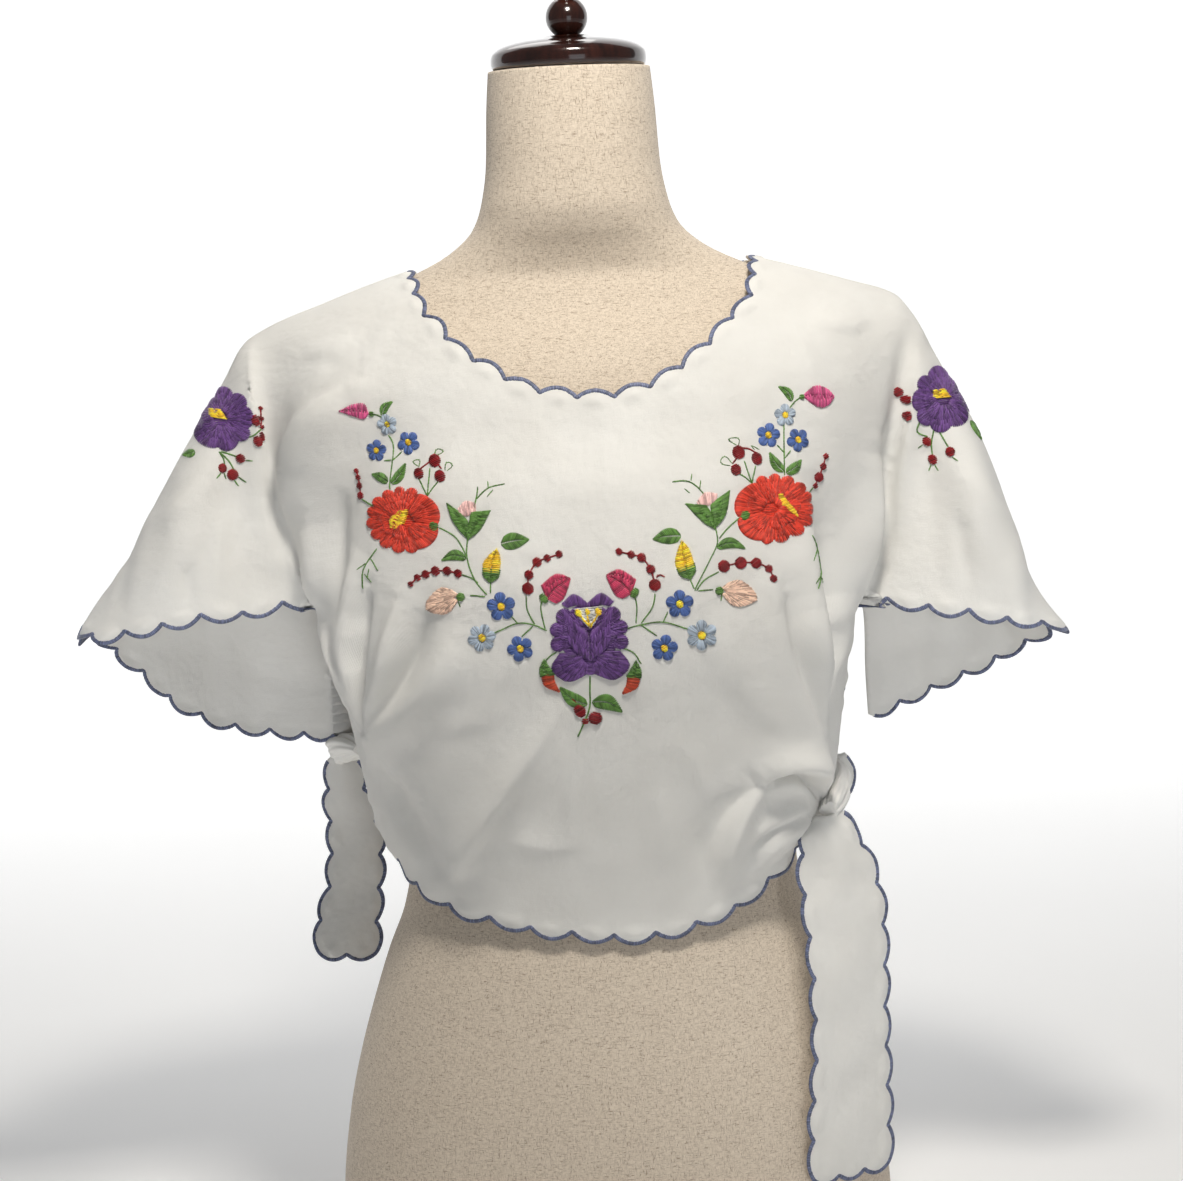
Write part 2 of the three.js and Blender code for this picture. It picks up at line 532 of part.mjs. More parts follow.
/** A tie: a strip of cloth between two edges, bowed between them, its free sides scalloped. */
function tie(rows, margin = 0) {
  const top = rows.z[rows.z.length - 1];
  const width = (z) => Math.hypot(
    curveAt(rows.z, rows.x1, z) - curveAt(rows.z, rows.x0, z),
    curveAt(rows.z, rows.y1, z) - curveAt(rows.z, rows.y0, z),
  );
  const surface = (s, z) => {
    const t = s / width(z) + 0.5;
    const x = lerp(curveAt(rows.z, rows.x0, z), curveAt(rows.z, rows.x1, z), t);
    const y = lerp(curveAt(rows.z, rows.y0, z), curveAt(rows.z, rows.y1, z), t);
    return new THREE.Vector3(x, y + curveAt(rows.z, rows.bow, z) * Math.cos(Math.PI * (t - 0.5)), z);
  };
  const inset = SCALLOP_DEPTH * 0.6;
  const half = (z) => width(z) / 2 - inset;
  const bottom = rows.z[0] + inset;
  const heights = [top, ...rows.z.slice(1, -1).reverse(), bottom];
  const flat = (s, z) => new THREE.Vector2(s, z);
  const right = table('s z', heights.map((z) => [half(z), z]));
  const left = table('s z', [...heights].reverse().map((z) => [-half(z), z]));
  const foot = table('s z', [1, 0.33, -0.33, -1].map((share) => [half(bottom) * share, bottom]));
  const head = table('s z', [[-half(top), top], [half(top), top]]);
  const outline = (grow) => [
    ...edgePoints(head, flat, grow),
    ...edgePoints(right, flat, grow, TIE_PITCH, TIE_SCALLOP_DEPTH),
    ...edgePoints(foot, flat, grow, TIE_PITCH * 0.7, TIE_SCALLOP_DEPTH),
    ...edgePoints(left, flat, grow, TIE_PITCH, TIE_SCALLOP_DEPTH),
  ];
  return shell(outline, TIE_MESH, surface, 1, margin);
}

/** A roll of cloth along a curve, with a few soft pleats round it. */
function knotRoll(rows, turn) {
  const points = rows.x.map((x, i) => new THREE.Vector3(x, rows.y[i], rows.z[i]));
  const path = new THREE.CatmullRomCurve3(points);
  const stations = 14;
  const count = 18;
  const keys = rows.x.map((_, i) => i / (rows.x.length - 1));
  const rings = [];
  for (let i = 0; i <= stations; i += 1) {
    const t = i / stations;
    const centre = path.getPoint(t);
    const run = path.getTangent(t);
    const across = new THREE.Vector3(0, 0, 1).cross(run).normalize();
    const up = run.clone().cross(across).normalize();
    const radius = curveAt(keys, rows.radius, t);
    rings.push(Array.from({ length: count }, (_, k) => {
      const angle = (k / count) * Math.PI * 2;
      const pleat = 1 + 0.12 * Math.cos(3 * angle + turn * t);
      return centre.clone().addScaledVector(across, Math.cos(angle) * radius * pleat)
        .addScaledVector(up, Math.sin(angle) * radius * pleat);
    }));
  }
  return loft(rings);
}

const LONGEST_RISE = 38;     // a taller step between two of the form's sections is halved

function torsoRings() {
  const count = 40;
  const heights = [];
  for (let i = 0; i < FORM_SECTIONS.z.length - 1; i += 1) {
    const low = FORM_SECTIONS.z[i];
    const high = FORM_SECTIONS.z[i + 1];
    const parts = high - low > LONGEST_RISE ? 2 : 1;
    for (let k = 0; k < parts; k += 1) heights.push(lerp(low, high, k / parts));
  }
  heights.push(FORM_SECTIONS.z[FORM_SECTIONS.z.length - 1]);
  return heights.map((z) => {
    const value = (column) => curveAt(FORM_SECTIONS.z, FORM_SECTIONS[column], z);
    const share = 2 / value('power');
    return Array.from({ length: count }, (_, k) => {
      const angle = (k / count) * Math.PI * 2;
      const c = Math.cos(angle);
      const s = Math.sin(angle);
      const depth = s < 0 ? value('front') : value('back');
      const x = Math.sign(c) * value('width') * Math.abs(c) ** share;
      return new THREE.Vector3(x, value('centre') + Math.sign(s) * depth * Math.abs(s) ** share, z);
    });
  });
}

const CAP_FACETS = 40;
const SMALL_FACETS = 28;

function lathe(profile, segments) {
  const points = profile.map(([radius, z]) => new THREE.Vector2(radius, z));
  const geometry = new THREE.LatheGeometry(points, segments);
  geometry.rotateX(Math.PI / 2);
  return geometry;
}

// ---------------------------------------------------------------- solids

const wasm = await Module();
wasm.setup();

function toSolid(geometry) {
  const bare = geometry.clone();
  bare.deleteAttribute('normal');
  bare.deleteAttribute('uv');
  const merged = mergeVertices(bare);
  return new wasm.Manifold(new wasm.Mesh({
    numProp: 3,
    vertProperties: new Float32Array(merged.attributes.position.array),
    triVerts: new Uint32Array(merged.index.array),
  }));
}

/** Geometry with the given neighbours cut out of it; the largest piece left is kept. */
function cutBy(geometry, cutters) {
  const cut = cutters.reduce((solid, cutter) => solid.subtract(toSolid(cutter)), toSolid(geometry));
  const pieces = cut.decompose().sort((a, b) => b.volume() - a.volume());
  const mesh = pieces[0].getMesh();
  const result = new THREE.BufferGeometry();
  result.setAttribute('position', new THREE.BufferAttribute(mesh.vertProperties, 3));
  result.setIndex(new THREE.BufferAttribute(mesh.triVerts, 1));
  return result;
}

// ---------------------------------------------------------------- materials and the model

const cotton = new THREE.MeshStandardMaterial({ color: 0xf1efe9, roughness: 0.9 });
const linen = new THREE.MeshStandardMaterial({ color: 0xcdbfa8, roughness: 0.95 });
const darkWood = new THREE.MeshStandardMaterial({ color: 0x1f0f0b, roughness: 0.2 });

const group = new THREE.Group();

function add(name, geometry, material) {
  const mesh = new THREE.Mesh(geometry, material);
  mesh.name = name;
  group.add(mesh);
}

const panelSpaces = [panel(FRONT, SEAM_GAP), panel(BACK, SEAM_GAP)];

add('front_panel', panel(FRONT), cotton);
add('back_panel', panel(BACK), cotton);
add('tie_right', tie(TIE_RIGHT), cotton);
add('tie_left', tie(TIE_LEFT), cotton);
add('tie_end_right', tie(TIE_END), cotton);
add('knot_right', cutBy(knotRoll(KNOT_RIGHT, 3), [
  ...panelSpaces, tie(TIE_RIGHT, SEAM_GAP), tie(TIE_END, SEAM_GAP),
]), cotton);
add('knot_left', cutBy(knotRoll(KNOT_LEFT, -3), [...panelSpaces, tie(TIE_LEFT, SEAM_GAP)]), cotton);
add('torso', loft(torsoRings()), linen);

add('neck_cap', lathe([
  [0, CAP_BOTTOM], [CAP_RADIUS - 2.5, CAP_BOTTOM], [CAP_RADIUS, CAP_BOTTOM + 3],
  [CAP_RADIUS, CAP_BOTTOM + 8], [CAP_RADIUS - 1.5, CAP_BOTTOM + 11], [CAP_RADIUS - 6, CAP_BOTTOM + 14],
  [34, CAP_TOP - 4], [22, CAP_TOP - 2], [16, CAP_TOP], [0, CAP_TOP],
], CAP_FACETS), darkWood);

const ballCentre = CAP_TOP + SEAM_GAP + BALL_RADIUS - 2;
const ballProfile = [];
for (let i = 0; i <= 12; i += 1) {
  const angle = lerp(-BALL_TURN, BALL_TURN, i / 12);
  ballProfile.push([BALL_RADIUS * Math.cos(angle), ballCentre + BALL_RADIUS * Math.sin(angle)]);
}
const ballBottom = ballProfile[0][1];
const ballTop = ballProfile[12][1];
add('ball', lathe([[0, ballBottom], ...ballProfile, [0, ballTop]], SMALL_FACETS), darkWood);

const finialBase = ballTop + SEAM_GAP;
const finialHeight = FINIAL_TOP - finialBase;
add('finial', lathe([
  [0, 0], [7.5, 0], [6.5, 0.08], [8, 0.17], [12, 0.3], [16, 0.45], [18, 0.6], [17, 0.75], [12, 0.88],
  [6, 0.97], [0, 1],
].map(([radius, share]) => [radius, finialBase + share * finialHeight]), SMALL_FACETS), darkWood);

export default group;
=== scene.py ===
# Looks of a short-sleeved, embroidered folk blouse worn by a limbless dress form: thin cloth with its
# folds, satin-stitched scallops, flower embroidery made of single stitches, linen, turned wood and light.
#
# Blender works in metres. The garment's tables and formulas are in millimetres, in the model's frame:
# +Z up, +X to the viewer's right, the front facing -Y, the origin in the middle of the form's flat base.

import math

import bpy
import numpy as np
from mathutils import Matrix, Vector
from mathutils.geometry import delaunay_2d_cdt


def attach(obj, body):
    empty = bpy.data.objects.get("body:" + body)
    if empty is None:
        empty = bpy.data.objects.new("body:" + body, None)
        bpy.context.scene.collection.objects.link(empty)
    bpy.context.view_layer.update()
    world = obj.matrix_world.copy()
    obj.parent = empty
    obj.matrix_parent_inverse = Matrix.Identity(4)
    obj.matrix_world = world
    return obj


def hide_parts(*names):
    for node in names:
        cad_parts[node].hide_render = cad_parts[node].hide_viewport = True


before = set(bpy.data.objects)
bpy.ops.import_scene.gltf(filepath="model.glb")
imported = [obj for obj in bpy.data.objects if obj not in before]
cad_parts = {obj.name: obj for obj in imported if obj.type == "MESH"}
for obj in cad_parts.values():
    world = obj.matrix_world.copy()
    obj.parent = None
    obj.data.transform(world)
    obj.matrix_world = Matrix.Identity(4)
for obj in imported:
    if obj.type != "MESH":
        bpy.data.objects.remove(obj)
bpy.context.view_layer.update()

MM = 0.001

# ---------------------------------------------------------------- camera

CAMERA_TARGET = (0.0, 0.0, 0.434)
CAMERA_DISTANCE = 1.8
CAMERA_ELEVATION = 7.0       # degrees above the target
CAMERA_ROLL = 2.5            # degrees, the object's top leaning to the left
SENSOR_WIDTH = 36.0
FRAME_WIDTH_AT_TARGET = 0.7453


def add_camera():
    data = bpy.data.cameras.new("camera")
    data.sensor_width = SENSOR_WIDTH
    data.sensor_fit = "HORIZONTAL"
    data.lens = SENSOR_WIDTH * CAMERA_DISTANCE / FRAME_WIDTH_AT_TARGET
    data.clip_end = 50
    camera = bpy.data.objects.new("camera", data)
    bpy.context.scene.collection.objects.link(camera)
    elevation = math.radians(CAMERA_ELEVATION)
    away = Vector((0, -math.cos(elevation), math.sin(elevation)))
    place = Matrix.Translation(Vector(CAMERA_TARGET) + away * CAMERA_DISTANCE)
    tilt = Matrix.Rotation(math.pi / 2 - elevation, 4, "X")
    roll = Matrix.Rotation(math.radians(-CAMERA_ROLL), 4, "Z")
    camera.matrix_world = place @ tilt @ roll
    bpy.context.scene.camera = camera


add_camera()

# ---------------------------------------------------------------- driving dimensions

CLOTH_WALL = 0.7             # thickness of the cloth that shows
FRONT_MESH = 2.6             # spacing of a panel's points
BACK_MESH = 3.3
TIE_MESH = 2.6
SCALLOP_DEPTH = 5.5
NECK_SCALLOP_DEPTH = 4.5
SIDE_SCALLOP_DEPTH = 3.0
TIE_SCALLOP_DEPTH = 4.0
BODY_PITCH = 26              # one scallop of the body's edges
SLEEVE_PITCH = 23
NECK_PITCH = 22
TIE_PITCH = 24
SEAM_GAP = 0.3
CAP_RADIUS = 48
CAP_BOTTOM = 758
CAP_TOP = 778
BALL_RADIUS = 13
FINIAL_TOP = 845


def table(columns, rows):
    values = np.array(rows, float)
    return {name: values[:, i] for i, name in enumerate(columns.split())}


# ---------------------------------------------------------------- the garment's tables

# The line along shoulders and overarms where front and back panels meet, seen from the front.
RIDGE = table("x z y", [
    (-328, 410, 4), (-322, 424, 4), (-309, 443, 4), (-289, 466, 4), (-268, 503, 3), (-244, 540, 3),
    (-225, 573, 4), (-206, 601, 5), (-156, 622, 8), (-108, 638, 8), (-60, 650, 6), (0, 655, 5),
    (60, 650, 6), (112, 638, 8), (170, 621, 8), (196, 612, 7), (208, 598, 5), (219, 576, 4),
    (235, 544, 3), (247, 518, 3), (259, 486, 3), (270, 445, 3), (281, 422, 3), (304, 392, 3),
])

# Level sections of the cloth on the body: half widths, depth, and the two powers of their curve.
FRONT_SECTIONS = table("z left right depth flat edge", [
    (180, 118, 118, 94, 2.4, 2.4), (235, 126, 126, 95, 2.4, 2.4), (269, 131, 133, 102, 2.4, 2.4),
    (287, 139, 141, 107, 2.4, 2.4), (316, 146, 148, 114, 2.5, 2.5), (346, 151, 152, 121, 2.6, 2.6),
    (382, 158, 157, 128, 2.6, 2.6), (410, 165, 162, 133, 2.7, 2.4), (440, 173, 169, 135, 2.7, 1.8),
    (500, 188, 186, 121, 2.7, 1.3), (545, 198, 201, 98, 2.7, 1.3), (600, 206, 207, 80, 2.6, 1.4),
    (660, 206, 207, 74, 2.4, 1.4),
])
BACK_SECTIONS = table("z left right depth flat edge", [
    (180, 120, 120, 92, 2.4, 2.4), (235, 126, 126, 92, 2.4, 2.4), (269, 133, 135, 92, 2.4, 2.4),
    (300, 142, 144, 94, 2.4, 2.4), (346, 150, 152, 98, 2.5, 2.5), (400, 158, 160, 102, 2.6, 2.6),
    (440, 172, 170, 106, 2.7, 1.8), (500, 188, 186, 107, 2.7, 1.3), (545, 198, 201, 102, 2.7, 1.3),
    (600, 206, 207, 87, 2.6, 1.4), (660, 206, 207, 77, 2.4, 1.4),
])

# Where the hollow between body and sleeve runs, as a distance from the middle at each height.
ARMPIT = table("z left right", [
    (380, 172, 162), (440, 190, 176), (545, 201, 203), (600, 205, 207), (660, 206, 208),
])

# Level sections of the dress form: half width, depth to the front, depth to the back, power.
FORM_SECTIONS = table("z width front back centre power", [
    (0, 178, 112, 118, 0, 2.2), (60, 175, 112, 120, 0, 2.2), (111, 168, 110, 117, 0, 2.2),
    (145, 160, 106, 110, 0, 2.2), (178, 150, 100, 101, 0, 2.2), (210, 139, 94, 91, 0, 2.2),
    (240, 127, 88, 84, 0, 2.2), (262, 123, 86, 81, 0, 2.2), (290, 126, 89, 82, 0, 2.2),
    (330, 134, 98, 86, 0, 2.2), (380, 143, 111, 92, 0, 2.2), (420, 150, 121, 96, 0, 2.2),
    (450, 157, 123, 98, 0, 2.2), (485, 166, 115, 98, 0, 2.2), (520, 173, 101, 95, 0, 2.2),
    (550, 179, 88, 89, 0, 2.2), (575, 183, 75, 80, 1, 2.2), (592, 182, 64, 70, 3, 2.2),
    (603, 172, 56, 61, 5, 2.2), (613, 155, 50, 55, 7, 2.2), (624, 132, 45, 50, 8, 2.2),
    (634, 107, 41, 46, 8, 2.2), (648, 79, 42, 47, 5, 2.2), (662, 64, 46, 50, 2, 2.2),
    (677, 58, 48, 51, 0, 2.2), (700, 54, 48, 50, 0, 2.1), (735, 52, 47, 49, 0, 2.1),
    (757.7, 50, 46, 48, 0, 2.1),
])

# Edges of the panels, seen from the front: distance from the middle measured round the cloth, height.
FRONT_NECK = table("s z", [
    (-107, 638), (-97, 618), (-86, 606), (-74, 592), (-54, 579), (-34, 568), (-7, 562), (18, 561),
    (43, 567), (62, 578), (79, 591), (92, 604), (105, 618), (112, 638),
])
BACK_NECK = table("s z", [
    (-107, 638), (-98, 620), (-66, 611), (0, 606), (66, 611), (99, 620), (112, 638),
])
FRONT_HEM = table("s z", [
    (200, 318), (192, 300), (170, 289), (147, 287), (124, 282), (113, 270), (98, 259), (79, 247),
    (58, 240), (35, 235), (9, 234), (-16, 237), (-41, 240), (-65, 246), (-87, 250), (-103, 257),
    (-126, 267), (-150, 283), (-180, 302), (-200, 322), (-208, 340),
])
BACK_HEM = table("s z", [
    (160, 318), (150, 290), (120, 262), (80, 245), (0, 236), (-80, 246), (-120, 264), (-150, 296),
    (-160, 334),
])
FRONT_SIDE_RIGHT = table("s z", [
    (166, 412), (168, 402), (176, 390), (192, 375), (203, 358), (203, 340), (200, 318),
])
FRONT_SIDE_LEFT = table("s z", [
    (-208, 340), (-212, 358), (-210, 376), (-197, 390), (-183, 402), (-174, 415), (-171, 431),
])
BACK_SIDE_RIGHT = table("s z", [(166, 420), (158, 400), (156, 372), (158, 345), (160, 318)])
BACK_SIDE_LEFT = table("s z", [(-160, 334), (-157, 360), (-157, 400), (-164, 424)])
FRONT_SLEEVE_RIGHT = table("s z", [
    (298, 398), (281, 405), (257, 411), (233, 417), (209, 420), (186, 424), (172, 422), (166, 412),
])
FRONT_SLEEVE_LEFT = table("s z", [
    (-171, 431), (-180, 438), (-198, 437), (-214, 434), (-237, 435), (-260, 431), (-284, 427),
    (-308, 423), (-322, 423),
])
BACK_SLEEVE_RIGHT = table("s z", [
    (300, 396), (289, 388), (271, 377), (249, 366), (228, 358), (208, 350), (190, 345), (175, 342),
])
BACK_SLEEVE_LEFT = table("s z", [
    (-166, 347), (-186, 345), (-205, 345), (-223, 346), (-245, 351), (-264, 360), (-279, 370),
    (-287, 380), (-302, 394), (-312, 406), (-324, 419),
])
BACK_FLAP_RIGHT = table("s z", [(175, 342), (174, 370), (174, 400), (172, 416), (166, 420)])
BACK_FLAP_LEFT = table("s z", [(-164, 424), (-167, 418), (-167, 400), (-166, 370), (-166, 347)])

# Folds and creases: start, middle and end seen from the front, reach to each side, height off the
# cloth. A reach is measured to the left or the right of the run from start to end.
FOLD_COLUMNS = "s0 z0 s1 z1 s2 z2 left right height"
FRONT_FOLDS = table(FOLD_COLUMNS, [
    (-201, 604, -203, 530, -199, 445, 10, 11, 3), (-127, 577, -186, 556, -193, 468, 11, 13, 5),
    (-142, 562, -190, 520, -172, 482, 13, 10, 5), (-172, 492, -168, 430, -146, 358, 14, 10, 6),
    (-106, 551, -160, 520, -157, 450, 12, 12, -4), (-157, 450, -155, 400, -146, 358, 10, 10, -4),
    (-131, 474, -160, 430, -149, 358, 10, 9, 4), (-116, 449, -122, 415, -146, 360, 9, 9, 4),
    (-92, 442, -104, 410, -134, 376, 12, 14, -6), (-86, 437, -92, 395, -146, 352, 18, 10, 6),
    (-139, 334, -118, 322, -96, 272, 10, 12, -4), (-16, 369, -62, 330, -95, 268, 13, 10, 4),
    (201, 605, 200, 560, 184, 500, 10, 10, 3), (184, 515, 170, 480, 157, 428, 9, 14, 5),
    (134, 492, 152, 470, 150, 438, 10, 10, -4), (107, 437, 130, 385, 146, 330, 10, 11, -4),
    (122, 440, 142, 390, 148, 335, 9, 9, 4), (143, 309, 122, 340, 90, 327, 9, 16, 8),
    (92, 329, 74, 315, 72, 256, 10, 16, 5), (138, 306, 115, 316, 93, 305, 9, 9, -4),
    (138, 302, 112, 303, 84, 282, 13, 9, 5), (-232, 575, -255, 500, -262, 430, 13, 15, 4),
    (-214, 545, -222, 490, -228, 436, 10, 10, -3), (222, 565, 240, 490, 247, 414, 15, 13, 4),
    (206, 540, 212, 480, 215, 420, 10, 10, -3),
])
BACK_FOLDS = table(FOLD_COLUMNS, [
    (-156, 338, -118, 372, -62, 424, 12, 16, 5), (-154, 330, -104, 344, -48, 362, 16, 12, 5),
    (-140, 322, -112, 310, -88, 268, 12, 13, -4), (156, 322, 122, 352, 74, 396, 16, 12, 5),
    (154, 314, 108, 326, 58, 334, 12, 16, 4), (138, 304, 116, 296, 96, 266, 13, 12, -4),
    (-164, 430, -158, 482, -112, 548, 13, 14, 5), (-148, 440, -138, 492, -92, 540, 12, 12, -4),
    (163, 426, 158, 470, 118, 530, 14, 13, 5), (150, 440, 140, 484, 104, 520, 12, 12, -4),
    (-12, 560, -18, 450, -6, 350, 20, 18, 3), (-238, 560, -256, 470, -250, 362, 15, 14, 5),
    (-212, 520, -222, 430, -214, 350, 12, 12, -3), (240, 550, 250, 460, 240, 370, 14, 15, 5),
    (212, 520, 218, 430, 210, 352, 12, 12, -3),
])
# Creases that run into a knot, in mm: where each starts, how far it bows away from the body's
# middle, the share of its way to the knot that it leaves out, and its section.
KNOT_PLACE_LEFT = (-146, 350)
KNOT_PLACE_RIGHT = (146, 310)
FAN_LEFT = [
    (-185, 520, 22, 0.20, 9, 5, 5), (-195, 545, 16, 0.50, 7, 7, -7), (-168, 500, 14, 0.05, 4, 7, 6),
    (-150, 515, 10, 0.50, 7, 6, -5), (-140, 470, 12, 0.10, 4, 6, 6), (-132, 455, 6, 0.15, 4, 5, -9),
    (-112, 450, -4, 0.10, 8, 4, 7), (-100, 435, -6, 0.20, 5, 5, -5), (-80, 425, -10, 0.10, 14, 5, 5),
]
FAN_RIGHT = [
    (200, 590, 6, 0.60, 5, 7, -8), (206, 580, 12, 0.55, 9, 4, 6), (190, 525, 8, 0.45, 7, 7, -10),
    (180, 520, 6, 0.40, 5, 12, 9), (128, 510, -6, 0.15, 5, 13, 8), (142, 475, 4, 0.30, 6, 6, -9),
    (105, 460, -10, 0.10, 5, 15, 7), (116, 445, -6, 0.25, 6, 6, -6), (65, 440, -16, 0.15, 16, 12, 4),
]


def fan(knot, rows):
    """Rows of folds that start apart and run into one knot."""
    folds = []
    for s, z, bow, short, left, right, height in rows:
        end = (knot[0] + (s - knot[0]) * short, knot[1] + (z - knot[1]) * short)
        bend = ((s + end[0]) / 2 + math.copysign(1, knot[0]) * bow, (z + end[1]) / 2)
        folds.append((s, z, *bend, *end, left, right, height))
    return folds


FRONT_CREASES = table(FOLD_COLUMNS, fan(KNOT_PLACE_LEFT, FAN_LEFT) + fan(KNOT_PLACE_RIGHT, FAN_RIGHT) + [
    (-140, 570, -175, 555, -185, 520, 16, 4, 7), (-205, 600, -200, 555, -200, 500, 5, 10, 6),
    (-140, 350, -130, 310, -95, 265, 9, 7, -7), (-15, 385, -60, 335, -95, 265, 5, 12, 5),
    (144, 305, 125, 350, 100, 330, 3, 9, 6.5), (100, 330, 65, 315, 60, 270, 4, 12, -5),
    (144, 305, 120, 335, 102, 325, 4, 3, -17), (125, 300, 90, 292, 88, 280, 3, 3, -5),
    (130, 296, 105, 288, 85, 262, 7, 4, 4), (100, 320, 80, 315, 70, 262, 12, 4, 4.5),
    (-14, 357, -22, 330, -18, 298, 7, 5, 1.6), (-60, 300, -40, 290, -10, 296, 8, 5, 1.6),
    (30, 330, 44, 300, 40, 268, 6, 9, 1.8), (-60, 560, -84, 530, -92, 500, 6, 8, 1.5),
    (70, 556, 92, 530, 96, 500, 8, 6, 1.6), (-136, 600, -150, 590, -172, 592, 5, 7, 2.6),
    (140, 600, 158, 592, 178, 596, 7, 5, 2.4), (-150, 588, -168, 570, -180, 548, 5, 8, 2.6),
    (-112, 610, -128, 588, -140, 560, 6, 7, 1.6), (118, 606, 138, 580, 146, 548, 7, 5, 2.0),
    (-264, 500, -276, 470, -288, 436, 6, 9, 4.0), (-246, 470, -248, 452, -246, 436, 5, 6, -3.5),
    (-232, 520, -246, 500, -268, 486, 6, 5, 2.6), (-222, 500, -230, 470, -228, 442, 8, 5, 3.6),
    (-288, 470, -296, 450, -300, 430, 5, 6, 3.0), (258, 470, 266, 440, 268, 412, 6, 8, 4.0),
    (226, 480, 230, 450, 232, 420, 6, 6, -3.5), (232, 505, 246, 480, 262, 462, 5, 7, 2.6),
    (276, 440, 284, 420, 290, 404, 5, 6, 3.0), (56, 300, 66, 280, 62, 256, 7, 7, -1.8),
    (-40, 420, -60, 400, -66, 376, 9, 9, 1.6), (20, 430, 30, 400, 24, 372, 9, 9, 1.4),
    (-50, 384, -70, 372, -96, 368, 6, 7, 1.4), (44, 360, 60, 340, 66, 312, 7, 6, 1.8),
])
BACK_CREASES = table(FOLD_COLUMNS, [
    (-126, 352, -100, 360, -76, 352, 6, 7, 1.4), (-134, 340, -112, 336, -90, 324, 6, 6, 1.1),
    (130, 344, 112, 362, 96, 374, 6, 7, 1.4), (128, 330, 106, 330, 84, 322, 5, 6, 1.0),
    (60, 420, 70, 390, 60, 350, 9, 9, 0.9), (-50, 470, -64, 430, -60, 390, 9, 10, 0.9),
    (20, 320, 30, 296, 26, 262, 8, 8, 0.9), (-40, 310, -30, 290, -34, 262, 8, 8, -0.8),
    (-118, 590, -122, 560, -136, 530, 8, 8, 1.1), (120, 590, 128, 560, 140, 530, 8, 8, 1.1),
    (-270, 470, -280, 430, -276, 384, 8, 8, 1.6), (-236, 440, -240, 400, -236, 356, 7, 7, -1.2),
    (262, 470, 274, 430, 270, 392, 8, 8, 1.6), (226, 440, 232, 400, 226, 362, 7, 7, -1.2),
    (-300, 440, -306, 424, -304, 404, 6, 6, 1.0), (-192, 430, -190, 390, -194, 352, 7, 8, 1.4),
    (192, 430, 196, 390, 192, 356, 7, 8, 1.3), (80, 580, 96, 560, 110, 552, 7, 7, 0.9),
    (-30, 590, -10, 560, -14, 520, 10, 10, 0.8), (40, 560, 46, 530, 34, 490, 9, 9, 0.8),
])

# Hanging ties: both edges at each height, and how far the middle bows out.
TIE_RIGHT = table("z x0 y0 x1 y1 bow", [
    (72, 117, -94, 172, -64, -3), (110, 118, -94, 173, -64, -4), (160, 122, -92, 173, -62, -5),
    (200, 122, -89, 174, -60, -5), (235, 120, -83, 174, -56, -6), (262, 118, -76, 169, -50, -7),
    (284, 120, -73, 158, -50, -8), (297, 129, -64, 150, -48, -8),
])
TIE_LEFT = table("z x0 y0 x1 y1 bow", [
    (190, -194, 60, -149, 50, -3), (214, -192, 62, -147, 50, -4), (240, -184, 63, -144, 51, -5),
    (272, -181, 62, -142, 52, -6), (296, -182, 60, -148, 52, -7), (326, -178, 56, -156, 50, -7),
])
TIE_END = table("z x0 y0 x1 y1 bow", [
    (291, 152, 24, 166, 34, -2), (304, 152, 22, 165, 33, -2), (319, 151, 20, 160, 30, -2),
])

# Knots: a gathered roll of cloth from the front panel's corner to the back panel's corner.
KNOT_LEFT = table("x y z radius", [
    (-150, -12, 341, 5), (-153, -4, 341, 9), (-158, 8, 340, 12), (-164, 22, 337, 13),
    (-166, 36, 334, 12), (-162, 48, 331, 10), (-156, 56, 330, 6),
])
KNOT_RIGHT = table("x y z radius", [
    (140, -61, 299, 7), (143, -49, 301, 10), (147, -32, 303, 10), (151, -12, 306, 10),
    (152, 8, 308, 10), (151, 24, 312, 8), (148, 36, 316, 6),
])

# ---------------------------------------------------------------- curves


def lerp(a, b, t):
    return a + (b - a) * t


def smoothstep(x, low, high):
    t = np.clip((x - low) / (high - low), 0, 1)
    return t * t * (3 - 2 * t)


def curve_at(keys, values, at):
    """Monotone cubic curve through a table's columns."""
    slopes = np.diff(values) / np.diff(keys)
    before, after = slopes[:-1], slopes[1:]
    total = np.where(before * after > 0, before + after, 1)
    inner = np.where(before * after > 0, 2 * before * after / total, 0)
    tangents = np.concatenate([slopes[:1], inner, slopes[-1:]])
    x = np.clip(at, keys[0], keys[-1])
    i = np.searchsorted(keys[1:-1], x, side="left")
    h = keys[i + 1] - keys[i]
    t = (x - keys[i]) / h
    u = 1 - t
    ends = u * u * (1 + 2 * t) * values[i] + t * t * (3 - 2 * t) * values[i + 1]
    return ends + h * t * u * (u * tangents[i] - t * tangents[i + 1])


def at_height(rows, name, z):
    """A table's column at the given heights."""
    return curve_at(rows["z"], rows[name], z)


def ridge_at(s, name="z"):
    return curve_at(RIDGE["x"], RIDGE[name], s)


def unit(vectors):
    """Vectors along the last axis, made one long."""
    return vectors / np.maximum(np.linalg.norm(vectors, axis=-1, keepdims=True), 1e-9)


def circle(around):
    """Angles of points spread evenly round a circle."""
    return np.arange(around) / around * 2 * math.pi


def soft_max(a, b, rounding):
    """The larger of two depths, rounded where they cross."""
    return (a + b + np.hypot(a - b, rounding)) / 2


# ---------------------------------------------------------------- the cloth's surface

